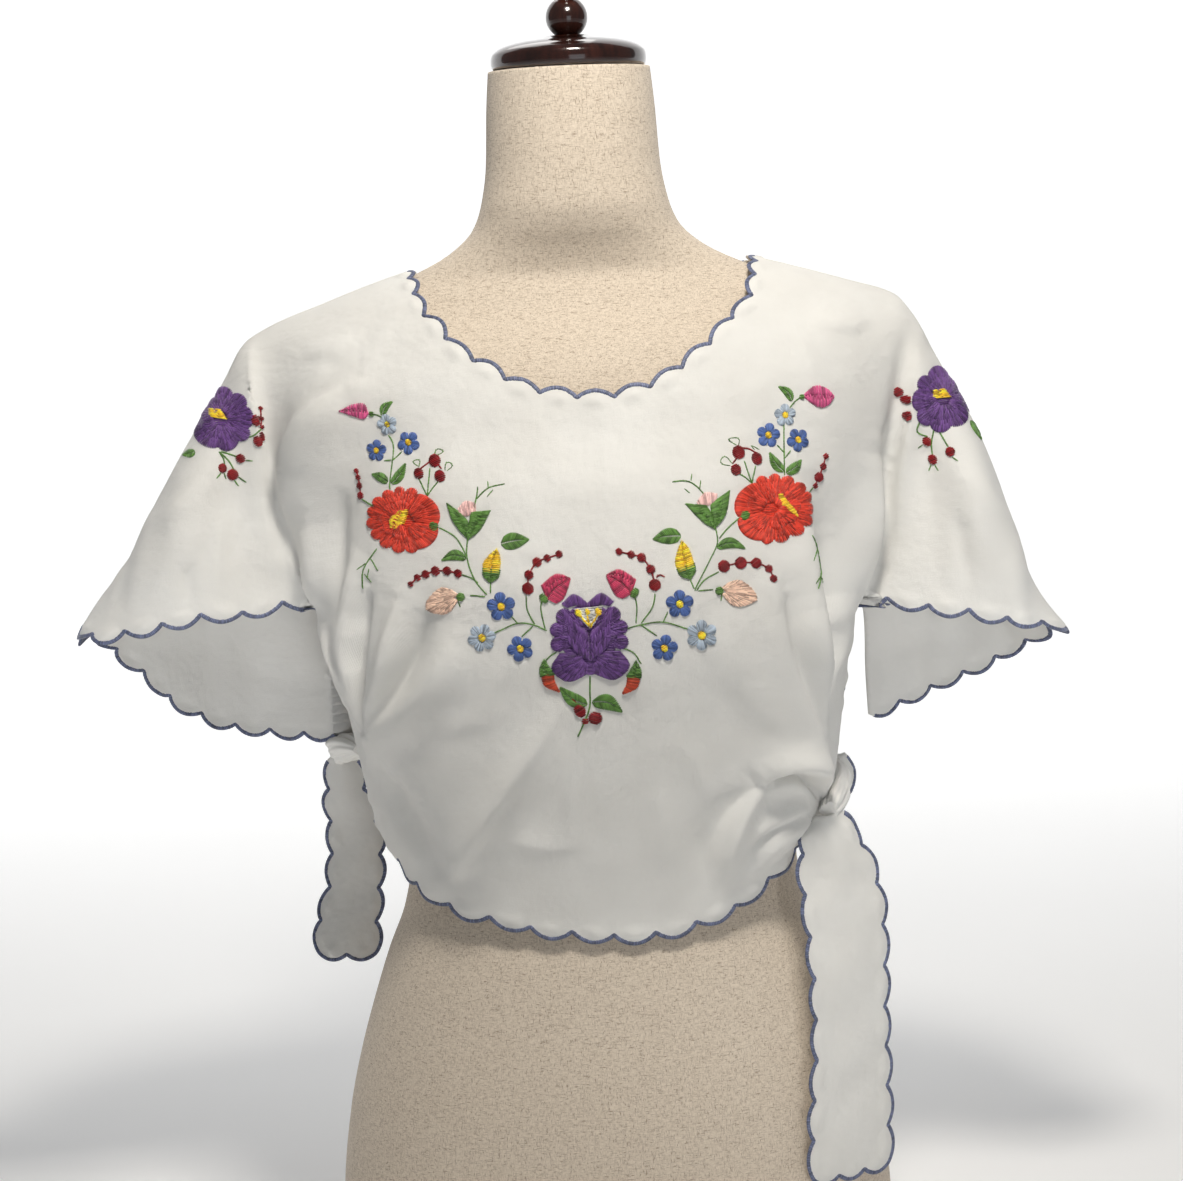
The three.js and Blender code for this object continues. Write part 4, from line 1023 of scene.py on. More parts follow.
def wood_material():
    material, nodes, links, shader = new_material(
        "mahogany", 0.16, Coat_Weight=0.9, Coat_Roughness=0.04, Specular_IOR_Level=0.5)
    place = add_node(nodes, "TexCoord").outputs["Object"]
    grain = noise(nodes, links, stretched(nodes, links, place, (1, 1, 0.15)), 160, 6, 0.65)
    colour = ramp(nodes, links, grain, [
        (0.35, (0.010, 0.003, 0.002)), (0.6, (0.030, 0.008, 0.005)), (0.8, (0.060, 0.018, 0.010)),
    ])
    links.new(colour, shader.inputs["Base Color"])
    return material


def thread_material(name, colour, dark=0.52):
    """Embroidery thread: slight lustre, and the tone varies from stitch to stitch. On the edging the
    grooves between threads get a low tone, which darkens them: painted shade.
    """
    material, nodes, links, shader = new_material(
        name, 0.5, Sheen_Weight=0.25, Sheen_Roughness=0.35, Specular_IOR_Level=0.4)
    place = add_node(nodes, "TexCoord").outputs["Object"]
    patches = maths(nodes, links, "MULTIPLY", noise(nodes, links, place, 300, 2, 0.6), 0.5)
    strands = add_node(nodes, "Attribute", attribute_name="thread_tone_and_groove_shade").outputs["Fac"]
    tone = maths(nodes, links, "ADD", patches, maths(nodes, links, "MULTIPLY", strands, 0.5))
    shade = tuple(c * dark for c in colour)
    bright = tuple(min(1, c * 1.35) for c in colour)
    links.new(ramp(nodes, links, tone, [(0.25, shade), (0.5, colour), (0.72, bright)]),
              shader.inputs["Base Color"])
    fibres = noise(nodes, links, place, 2600, 2)
    links.new(bump(nodes, links, fibres, 0.25, 0.0001).outputs["Normal"], shader.inputs["Normal"])
    return material


def give(obj, material):
    obj.data.materials.clear()
    obj.data.materials.append(material)
    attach(obj, "root")


COTTON = cotton_material()
LINEN = linen_material()
WOOD = wood_material()
EDGING = thread_material("edging_blue", (0.15, 0.175, 0.29), 0.42)

# ---------------------------------------------------------------- panels and ties

FRONT_SURFACE = cloth_surface(FRONT)
BACK_SURFACE = cloth_surface(BACK)
FRONT_SKIN = sampled_skin(FRONT_SURFACE, 1)
BACK_SKIN = sampled_skin(BACK_SURFACE, -1)


def make_panel(name, node, outline, surface, skin, outward, spacing, patches=()):
    cloth = add_shell(name, outline, spacing, surface, outward, patches)
    give(cloth, COTTON)
    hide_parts(node)
    edging = add_edging(name + "_edging", outline, skin, outward)
    give(edging, EDGING)
    return cloth, edging


# Patches of the front with sharp folds, by cloth coordinates: low corner, high corner, mesh spacing.
SHARP_FOLDS = [((64, 240), (148, 335), 1.4), ((-178, 335), (-110, 450), 1.8)]
front, front_edging = make_panel(
    "front", "front_panel", front_outline(), FRONT_SURFACE, FRONT_SKIN, 1, FRONT_MESH, SHARP_FOLDS)
back, back_edging = make_panel(
    "back", "back_panel", back_outline(), BACK_SURFACE, BACK_SKIN, -1, BACK_MESH)
for tie_name, tie_node, tie_rows in (
    ("right_tie", "tie_right", TIE_RIGHT), ("left_tie", "tie_left", TIE_LEFT),
    ("right_tie_end", "tie_end_right", TIE_END),
):
    tie_form, tie_width = tie_surface(tie_rows)
    make_panel(
        tie_name, tie_node, tie_outline(tie_rows, tie_width), tie_form, skin_of(tie_form, 1), 1, TIE_MESH)

# ---------------------------------------------------------------- knots


KNOT_STATIONS = 90
KNOT_AROUND = 96
KNOT_SHARE = 0.8             # the roll's mean radius, as a share of its table's
TIED_DEPTH = 0.16            # how far it is pulled in where it is tied, as a share
TIED_REACH = 0.07            # and over which share of its length


def knot_roll(name, rows, turn):
    """A gathered roll of cloth along a curve, pleated along its run and pulled in where it is tied."""
    points = np.stack([rows["x"], rows["y"], rows["z"]], 1)
    path = spline_points(points)
    path = np.vstack([evenly(path, KNOT_STATIONS), path[-1:]])
    keys = np.arange(len(points)) / (len(points) - 1)
    rings = []
    for i, centre in enumerate(path):
        t = i / KNOT_STATIONS
        run = path[min(i + 1, KNOT_STATIONS)] - path[max(i - 1, 0)]
        run /= np.linalg.norm(run)
        across = np.cross((0, 0, 1), run)
        across /= np.linalg.norm(across)
        up = np.cross(run, across)
        radius = KNOT_SHARE * curve_at(keys, rows["radius"], t)
        angle = circle(KNOT_AROUND)
        pleat = 1 + 0.12 * np.cos(3 * angle + turn * t) - 0.06
        pleat += 0.05 * np.cos(7 * angle - 1.3 * turn * t + 1) + 0.03 * np.cos(13 * angle + 4 * t)
        tied = 1 - TIED_DEPTH * math.exp(-((t - 0.5) / TIED_REACH) ** 2)
        ring = np.cos(angle)[:, None] * across + np.sin(angle)[:, None] * up
        rings.append(centre + ring * (radius * pleat * tied)[:, None])
    return add_tube(name, rings)


for knot_name, knot_node, knot_rows, knot_turn in (
    ("right_knot_cloth", "knot_right", KNOT_RIGHT, 3), ("left_knot_cloth", "knot_left", KNOT_LEFT, -3),
):
    knot = knot_roll(knot_name, knot_rows, knot_turn)
    give(knot, COTTON)
    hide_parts(knot_node)

# ---------------------------------------------------------------- embroidery threads

THREAD_PITCH = 1.0           # distance between two threads of a filled shape
THREAD_RADIUS = 0.56
PETAL_PITCH = 0.8            # the same at the rim of a small flower
STEM_RADIUS = 0.42
HAIR_RADIUS = 0.28           # the thinnest tendrils
TWIG_RADIUS = 0.34
BOLD_RADIUS = 0.5
DIVE = -0.45                 # where a thread's ends lie, below the cloth's face
LONGEST_STITCH = 8.5         # longer runs are split into staggered stitches
RIDGE_CLEARANCE = 1.5        # how far below the ridge a sleeve's motif stops, seen from the front
# A thread's section: across and off the cloth, in radii.
THREAD_SECTION = [(-0.95, -0.55), (-0.78, 0.45), (0.0, 1.0), (0.78, 0.45), (0.95, -0.55)]
# Along a thread: place, share of its full height; its ends dive into the cloth.
THREAD_STATIONS = [(0.0, -0.9), (0.1, 0.75), (0.36, 1.0), (0.64, 1.0), (0.9, 0.75), (1.0, -0.9)]

draw = np.random.default_rng(7)
threads = {}


def lay(colour, starts, ends, lift=0.1, crown=0.35, radius=THREAD_RADIUS):
    """Single stitches from starts to ends, seen from the front. Crown raises those in the middle."""
    starts = np.atleast_2d(np.asarray(starts, float))
    ends = np.atleast_2d(np.asarray(ends, float))
    count = len(starts)
    middle = np.sin(math.pi * (np.arange(count) + 0.5) / count) ** 0.6
    heights = lift + crown * middle + draw.uniform(-0.18, 0.18, count)
    threads.setdefault(colour, []).append(
        np.column_stack([starts, ends, heights, np.full(count, radius)]))


def smooth_run(points, count):
    """Even points along a smooth curve through the given ones, both ends included."""
    points = np.asarray(points, float)
    curve = spline_points(points) if len(points) > 2 else points
    return np.vstack([evenly(curve, count - 1), curve[-1:]])


def fill(colour, side_a, side_b, lift=0.1, crown=0.35, ragged=0.25):
    """Fills the shape between two sides with threads from one to the other."""
    lengths = [polyline_length(smooth_run(side, 24)) for side in (side_a, side_b)]
    count = max(3, round(max(lengths) / THREAD_PITCH))
    a = smooth_run(side_a, count)
    b = smooth_run(side_b, count)
    along = b - a
    length = np.linalg.norm(along, axis=1, keepdims=True)
    way = along / np.maximum(length, 1e-6)
    a = a - way * draw.uniform(0, ragged, (count, 1))
    b = b + way * draw.uniform(0, ragged, (count, 1))
    pieces = max(1, math.ceil(float(length.max()) / LONGEST_STITCH))
    stagger = np.where(np.arange(count) % 2, 0.16, -0.16) + draw.uniform(-0.08, 0.08, count)
    for piece in range(pieces):
        low = 0 if piece == 0 else (piece + stagger) / pieces - 0.03
        high = 1 if piece == pieces - 1 else (piece + 1 + stagger) / pieces + 0.03
        low = np.reshape(low * np.ones(count), (-1, 1))
        high = np.reshape(high * np.ones(count), (-1, 1))
        lay(colour, a + (b - a) * low, a + (b - a) * high, lift, crown)


def dot(colour, x, z, width, height=None, lean=0.0, lift=0.15, crown=0.7):
    """A satin-stitched berry or bead, its threads running across."""
    height = height or width
    count = max(3, round(height / THREAD_PITCH))
    place = (np.arange(count) + 0.5) / count * 2 - 1
    half = width / 2 * np.sqrt(1 - place ** 2 * 0.92)
    offsets = place * height / 2
    c, s = math.cos(lean), math.sin(lean)
    starts = np.stack([x - half * c - offsets * s, z - half * s + offsets * c], 1)
    ends = np.stack([x + half * c - offsets * s, z + half * s + offsets * c], 1)
    lay(colour, starts, ends, lift, crown)


def stem(colour, points, radius=STEM_RADIUS, lift=0.12):
    """Stem stitch along a curve: short stitches that lie half over each other."""
    curve = smooth_run(points, 40)
    length = polyline_length(curve)
    count = max(1, round(length / 1.7))
    step = 1 / count
    at = np.arange(count) * step
    knots = np.linspace(0, 1, len(curve))

    def place(t):
        t = np.clip(t, 0, 1)
        return np.stack([np.interp(t, knots, curve[:, k]) for k in range(2)], 1)

    starts = place(at - 0.35 * step)
    ends = place(at + 1.35 * step)
    run = ends - starts
    off = unit(np.stack([-run[:, 1], run[:, 0]], 1))
    lay(colour, starts - off * 0.18, ends + off * 0.18, lift, 0.0, radius)


def leaf(colour, base, tip, width, bend=0.0):
    """Two satin halves that slant away from a middle vein."""
    base, tip = np.array(base, float), np.array(tip, float)
    run = tip - base
    length = np.linalg.norm(run)
    off = np.array([-run[1], run[0]]) / length
    t = np.linspace(0.03, 0.97, max(4, round(length / THREAD_PITCH)))

    def vein(u):
        return base + np.outer(u, run) + np.outer(np.sin(math.pi * np.clip(u, 0, 1)) * bend, off)

    for side in (-1, 1):
        reach = np.clip(t + 0.16, 0, 1)
        half = width / 2 * np.sin(math.pi * reach ** 0.8) ** 0.85 + 0.25
        edge = vein(reach) + off * side * half[:, None]
        lay(colour, vein(t) + off * side * 0.12, edge, 0.1, 0.3)


def small_flower(colour, x, z, size, petals=5, turn=0.0):
    """A forget-me-not: round petals of radial threads and a stitched heart."""
    for k in range(petals):
        middle = turn + k * 2 * math.pi / petals
        spread = math.pi / petals * 0.93
        count = max(7, round(size * math.pi / petals / PETAL_PITCH))
        angles = middle + np.linspace(-spread, spread, count)
        round_tip = 0.62 + 0.40 * np.cos((angles - middle) / spread * math.pi / 2) ** 0.5
        outer = size / 2 * round_tip
        inner = np.full(len(angles), size * 0.13)
        starts = np.stack([x + inner * np.cos(angles), z + inner * np.sin(angles)], 1)
        ends = np.stack([x + outer * np.cos(angles), z + outer * np.sin(angles)], 1)
        lay(colour, starts, ends, 0.1, 0.6)
    dot("yellow", x, z, size * 0.27, lean=0.5, lift=0.55, crown=0.5)


def lobe(colour, centre, radii, start, end, inner, outer=1.0, lift=0.1, crown=0.6, peak=0.16):
    """One scalloped petal of a large flower: radial threads round its centre. Angles in degrees."""
    arc = math.radians(abs(end - start)) * max(radii) * outer
    count = max(4, round(arc / THREAD_PITCH))
    u = np.linspace(0.02, 0.98, count)
    angles = np.radians(start + (end - start) * u)
    far = outer * (1 - peak + peak * np.sin(math.pi * u) ** 0.6)
    near = inner * (1 + 0.1 * draw.uniform(-1, 1, count))
    ray = np.stack([radii[0] * np.cos(angles), radii[1] * np.sin(angles)], 1)
    rim = centre + ray * far[:, None]
    root = centre + ray * near[:, None]
    length = np.linalg.norm(rim - root, axis=1).max()
    if length > LONGEST_STITCH:
        half = 0.5 + np.where(np.arange(count) % 2, 0.12, -0.12)[:, None]
        lay(colour, root, root + (rim - root) * (half + 0.04), lift, crown)
        lay(colour, root + (rim - root) * (half - 0.04), rim, lift, crown)
    else:
        lay(colour, root, rim, lift, crown)


def ground(colour, x, z, half_x, half_z):
    """Flat threads under a large flower, so that no cloth shows between its petals."""
    turn = np.radians(np.linspace(84, -84, 9))
    right = np.stack([x + half_x * np.cos(turn), z + half_z * np.sin(turn)], 1)
    left = np.stack([x - half_x * np.cos(turn), z + half_z * np.sin(turn)], 1)
    fill(colour, left, right, 0.0, 0.05)


def thread_mesh(name, rows):
    """One object holding all the stitches of one colour."""
    stations = np.array(THREAD_STATIONS)
    section = np.array(THREAD_SECTION)
    t = stations[:, 0]
    x = rows[:, 0, None] + (rows[:, 2] - rows[:, 0])[:, None] * t
    z = rows[:, 1, None] + (rows[:, 3] - rows[:, 1])[:, None] * t
    limit = ridge_at(x) - RIDGE_CLEARANCE
    shown = (z < limit).sum(1) > 2
    rows, x, z, limit = rows[shown], x[shown], z[shown], limit[shown]
    point, normal = FRONT_SKIN(x, to_cloth_height(x, np.minimum(z, limit)))
    lift = np.where(stations[:, 1] > 0, rows[:, 4, None] * stations[:, 1], DIVE)
    centre = point + normal * (CLOTH_WALL / 2 + lift)[..., None]
    side = np.cross(normal, unit(np.gradient(centre, axis=1)))
    radius = rows[:, 5, None, None, None]
    across = section[:, 0, None] * radius
    upward = section[:, 1, None] * radius
    rings = centre[:, :, None] + side[:, :, None] * across + normal[:, :, None] * upward
    count, steps, around = rings.shape[:3]
    offsets = np.arange(count) * steps * around
    quads = np.roll(ring_quads(steps, around)[:, ::-1], 1, axis=1)
    faces = (quads[None] + offsets[:, None, None]).reshape(-1, 4).tolist()
    for offset in offsets:
        faces += [face[::-1] for face in end_faces(steps, around, int(offset))]
    obj = add_object(name, rings, faces)
    tones = np.repeat(draw.uniform(0, 1, count), steps * around)
    add_attribute(obj, "thread_tone_and_groove_shade", "FLOAT", "value", tones)
    return obj


# ---------------------------------------------------------------- flowers

def rose(colour, x, z, half_x, half_z, facing):
    """A large rose seen from the side: a ring of scallops and two broad petals on its facing side."""
    radii = (half_x, half_z)

    def turn(angle):
        return angle if facing > 0 else 180 - angle

    ground(colour, x, z, half_x * 0.7, half_z * 0.7)
    for k in range(8):
        start = 104 + k * 24
        lobe(colour, (x, z), radii, turn(start), turn(start + 24), 0.52, 1.0, 0.1, 0.6)
    for start, end in ((62, 84), (84, 104)):
        lobe(colour, (x, z), radii, turn(start), turn(end), 0.50, 1.02, 0.1, 0.6)
    for start, end in ((-8, 64), (-72, -10)):
        lobe(colour, (x, z), radii, turn(start), turn(end), 0.30, 1.0, 0.25, 0.8, 0.12)
    for start, end in ((4, 52), (-62, -20)):
        lobe(colour, (x, z), radii, turn(start), turn(end), 0.26, 0.74, 0.95, 0.5, 0.14)
    for k in range(5):
        start = 70 + k * 42
        lobe(colour, (x, z), radii, turn(start), turn(start + 42), 0.18, 0.62, 0.75, 0.6)
    for k in range(3):
        start = 100 + k * 56
        lobe(colour, (x, z), radii, turn(start), turn(start + 56), 0.1, 0.36, 1.3, 0.4)


def stems(*runs, radius=STEM_RADIUS):
    """Green stems, each run a list of points."""
    for points in runs:
        stem("green", points, radius)


def beads(*rows):
    """A string of dark red satin beads: x, z, width."""
    for x, z, width in rows:
        dot("dark_red", x, z, width, width * 0.92, 0.6, 0.2, 0.7)
    stem("dark_red", [(x, z) for x, z, _ in rows], BOLD_RADIUS)


def berries(*rows, crown=0.8):
    """Round dark red berries: x, z, width."""
    for x, z, width in rows:
        dot("dark_red", x, z, width, width, 0.4, 0.25, crown)


def left_cluster():
    fill("pink", [(-145, 556), (-138, 560), (-131, 561), (-129, 556)],
         [(-145, 556), (-139, 554), (-132, 552), (-129, 555)], 0.2, 0.8)
    dot("green", -127, 555, 3.4, 3.0)
    stems([(-127, 555), (-122, 554), (-118, 550)])
    leaf("green", (-121, 554), (-114, 562), 4.6, 1.6)
    small_flower("pale_blue", -118, 549, 12.5, 5, 0.5)
    stems([(-118, 543), (-115, 538), (-115, 530), (-117, 515), (-117, 511)])
    small_flower("blue", -126, 534, 13, 5, 0.2)
    small_flower("blue", -105, 538, 14, 5, 0.9)
    stems([(-121, 528), (-116, 528)], [(-115, 528), (-109, 533)])
    leaf("green", (-118, 515), (-129, 520), 5.4, -0.8)
    leaf("green", (-116, 514), (-107, 526), 5.6, -1.0)
    beads((-140, 522, 3.2), (-139, 518, 3.6), (-138, 513, 4.2), (-137, 507, 4.8))
    stems([(-136, 505), (-128, 501)])
    stem("dark_red", [(-99, 522), (-93, 526), (-89, 527), (-85, 522)], BOLD_RADIUS)
    stems(
        [(-99, 517), (-96, 511), (-94, 507)], [(-92, 523), (-93, 515), (-94, 507)],
        [(-87, 515), (-91, 511), (-94, 507)],
    )
    stems(
        [(-99, 524), (-103, 527), (-98, 528), (-99, 524)],
        [(-89, 530), (-88, 534), (-83, 532), (-88, 530)],
        [(-83, 521), (-82, 526), (-78, 524), (-82, 521)], radius=HAIR_RADIUS,
    )
    berries((-99, 520, 6.2), (-89, 527, 7.6), (-86, 518, 6.6), crown=0.9)
    rose("red", -109.5, 493, 23.5, 19.5, 1)
    fill("yellow", [(-117, 489), (-117, 494), (-112, 498)],
         [(-113, 488), (-108, 492), (-106, 499)], 1.6, 0.3)
    dot("green", -91, 489.5, 6.0, 5.4, 0.3, 0.6, 0.6)
    stems([(-88, 489), (-78, 483), (-72, 472)], [(-126, 476), (-132, 468), (-135, 461), (-136, 452)])
    stems(
        [(-130, 470), (-126, 463)], [(-133, 467), (-138, 463)], [(-134, 461), (-131, 456)],
        [(-131, 464), (-133, 458)], radius=TWIG_RADIUS,
    )
    fill("pale_pink", [(-76, 500), (-72, 504), (-66, 503)],
         [(-75, 496), (-71, 495), (-66, 497)], 0.1, 0.4)
    fill("green", [(-83, 503), (-80, 493), (-74, 485), (-71, 482)],
         [(-75, 497), (-71, 493), (-70, 489), (-70, 482)], 0.35, 0.6)
    fill("green", [(-57, 498), (-62, 489), (-67, 484), (-71, 482)],
         [(-69, 497), (-70, 492), (-71, 489), (-71, 483)], 0.5, 0.5)
    stems([(-67, 499), (-65, 506), (-64, 512)], [(-65, 505), (-58, 511), (-48, 513)])
    stems([(-59, 506), (-55, 510)], [(-58, 511), (-58, 515)], radius=TWIG_RADIUS)
    stems([(-71, 483), (-72, 472), (-68, 459), (-61, 450)])
    leaf("green", (-72, 471), (-87, 470), 6.0, -2.6)
    yellow_bud(-58, 463, 13.5, 10.5, 0.12)
    leaf("green", (-52, 479), (-35, 481), 9.5, 0.6)
    beads(
        (-106, 456, 3.4), (-102, 460, 4.2), (-97, 462, 5.0), (-91, 464, 5.8), (-84, 464, 5.4),
        (-77.5, 462.5, 5.2),
    )
    stems([(-76, 462), (-70, 460), (-66, 457)])
    peach_flower(-78, 449, -1)
    stems([(-71, 450), (-62, 449)])
    small_flower("blue", -53, 443, 17, 5, 0.4)
    small_flower("pale_blue", -65, 425, 16.5, 6, 0.2)
    small_flower("blue", -43, 418, 15.5, 5, 0.7)
    stems(
        [(-59, 427), (-52, 430), (-44, 433), (-35, 432), (-27, 428)], [(-48, 438), (-44, 433)],
        [(-35, 431), (-42, 425)],
    )
    beads((-18, 472, 4.6), (-25, 470, 4.6), (-31, 468, 5.8), (-36, 461, 5.8), (-37, 453, 7.2))
    stems([(-38, 449), (-38, 441), (-34, 432)])
    tulip("magenta", -21, 452, 1)
    stems([(-29, 446), (-30, 441), (-28, 429)])


def right_cluster():
    fill("pink", [(151, 553), (146, 558), (139, 560), (133, 556)],
         [(151, 553), (147, 548), (141, 547), (133, 553)], 0.2, 0.8)
    dot("green", 131, 554, 3.6, 3.0)
    stems([(131, 554), (127, 552), (123, 548)])
    leaf("green", (125, 552), (117, 561), 4.8, -1.6)
    small_flower("pale_blue", 120, 544, 13.5, 5, 0.3)
    stems([(119, 539), (118, 524), (117, 509)])
    small_flower("blue", 109, 533, 14.5, 5, 0.1)
    small_flower("blue", 127, 529, 14, 5, 0.8)
    stems([(114, 527), (118, 522)], [(122, 523), (118, 519)])
    leaf("green", (117, 511), (109, 523), 5.6, 1.0)
    leaf("green", (118, 510), (128, 517), 6.0, -0.8)
    beads((144, 518, 3.6), (142, 512, 4.2), (139, 506, 6.0), (136.5, 501, 3.6))
    stems([(135, 500), (128, 495)])
    stem("dark_red", [(90, 526), (96, 526), (101, 523)], BOLD_RADIUS)
    stem("dark_red", [(90, 522), (86, 518)], BOLD_RADIUS)
    stems(
        [(93, 519), (95, 512), (97, 506)], [(100, 516), (98, 510), (97, 506)],
        [(90, 512), (94, 509), (97, 506)],
    )
    stems(
        [(89, 528), (84, 532), (91, 532), (90, 528)], [(100, 525), (98, 528), (103, 525)],
        [(85, 517), (79, 519), (82, 523), (86, 518)], radius=HAIR_RADIUS,
    )
    berries((90, 524, 7.6), (101, 520, 7.0), (88, 514.5, 6.2), crown=0.9)
    rose("red", 109.5, 490, 24.5, 20.5, -1)
    fill("yellow", [(112, 498), (112, 493), (116, 489), (121, 484)],
         [(115, 498), (118, 493), (121, 488), (122, 484)], 1.6, 0.3)
    dot("green", 92, 488, 6.2, 5.8, -0.3, 0.6, 0.6)
    stems([(89, 487), (82, 482), (76, 476)], [(129, 472), (132, 463), (133, 455), (132, 449), (129, 441)])
    stems(
        [(131, 463), (128, 457)], [(133, 459), (136, 452)], [(132, 449), (128, 444)],
        [(132, 447), (135, 443)], radius=TWIG_RADIUS,
    )
    fill("pale_pink", [(64, 498), (69, 503), (76, 502)], [(65, 496), (70, 495), (75, 497)], 0.1, 0.4)
    fill("green", [(57, 497), (63, 490), (68, 485), (73, 482)],
         [(70, 495), (72, 491), (73, 487), (74, 482)], 0.5, 0.5)
    fill("green", [(84, 503), (82, 493), (79, 487), (74, 482)],
         [(72, 496), (72, 491), (73, 487), (74, 483)], 0.35, 0.6)
    stems([(72, 496), (66, 505), (59, 510), (50, 510)])
    stems([(61, 510), (62, 514)], [(66, 505), (67, 510)], [(57, 506), (60, 503)], radius=TWIG_RADIUS)
    stems([(74, 483), (75, 474), (71, 466), (62, 451), (60, 447)])
    leaf("green", (74, 471), (91, 469), 6.2, 3.0)
    yellow_bud(56, 460, 15.5, 11.0, -0.28)
    leaf("green", (54, 479), (37, 478), 9.0, -0.8)
    stems([(53, 476), (56, 471)])
    beads((78, 460, 7.4), (88, 461, 7.4), (97, 460, 6.4), (104, 456, 4.8), (106, 450, 4.4))
    stems([(75, 457), (66, 453), (61, 447)])
    peach_flower(76, 446, 1)
    stems([(71, 447), (62, 447)])
    small_flower("blue", 51, 440, 16.5, 5, 0.3)
    small_flower("pale_blue", 63, 421, 18, 6, 0.5)
    small_flower("blue", 41, 414.5, 16, 5, 0.1)
    stems([(19, 427), (27, 429), (41, 430), (55, 425)], [(41, 430), (44, 436)], [(28, 429), (37, 422)])
    beads((17, 472, 4.4), (24, 470, 4.8), (30, 468, 5.6), (35, 461, 5.8), (37, 452, 7.4))
    stem("dark_red", [(38, 456), (40, 458), (43, 456)], BOLD_RADIUS)
    stems([(37, 447), (35, 439), (28, 430)])
    tulip("magenta", 18, 453, -1)
    stems([(25, 446), (26, 440), (25, 430)])


def yellow_bud(x, z, height, width, lean):
    """A closed yellow bud in a green cup; x, z is where the two meet."""
    def at(across, up):
        return x + across * math.cos(lean) - up * math.sin(lean) * -1, z + up - across * math.sin(lean)

    left = [at(-width * 0.45, 0), at(-width * 0.5, height * 0.35), at(-width * 0.15, height * 0.75),
            at(0.2 * width, height)]
    right = [at(width * 0.45, 0), at(width * 0.5, height * 0.4), at(width * 0.42, height * 0.75),
             at(0.22 * width, height)]
    middle = [at(0, 0), at(0, height * 0.4), at(width * 0.12, height * 0.75), at(0.2 * width, height)]
    fill("yellow", left, middle, 0.25, 0.6)
    fill("yellow", middle, right, 0.35, 0.6)
    cup_left = [at(-width * 0.52, 1.5), at(-width * 0.45, -2.5), at(-width * 0.12, -5.5)]
    cup_right = [at(width * 0.52, 1.5), at(width * 0.45, -2.5), at(width * 0.12, -5.5)]
    fill("green", cup_left, cup_right, 0.35, 0.6)
    stem("green", [at(0, -5), at(0.5, -12)])


def peach_flower(x, z, facing):
    """A pale open flower seen from the side, its petals fanning out from x, z."""
    fan_shape = [(4, 4), (11, 5), (18, -1), (20, -7), (13, -10), (6, -9), (1, -3)]
    rim = [(x + facing * dx, z + dz) for dx, dz in fan_shape]
    root_shape = [(0, 1.2), (1.5, 0.4), (2.5, -0.6), (2.0, -1.8), (0, -1.6)]
    root = [(x + facing * dx, z + dz) for dx, dz in root_shape]
    fill("peach", root, rim, 0.15, 0.6, 0.6)
    dot("green", x - facing * 1.5, z, 5.4, 4.6, 0.2 * facing, 0.5, 0.5)
    stem("green", [(x, z - 2), (x - facing * 1, z - 6)], 0.34)


def tulip(colour, x, z, facing):
    """A folded tulip on a small green cup; it opens away from the middle flower's axis."""
    tip = (x + facing * 9.5, z + 6)
    left = [tip, (x + facing * 1, z + 9), (x - facing * 8, z + 3)]
    lower = [tip, (x + facing * 5, z - 5), (x + facing * 0.5, z - 8)]
    crease = [tip, (x + facing * 0, z + 1), (x - facing * 5, z - 5)]
    fill(colour, left, crease, 0.2, 0.6)
    fill(colour, crease, lower, 0.3, 0.6)
    dot("green", x - facing * 7, z - 5, 5.0, 6.0, 0.6 * facing, 0.4, 0.6)


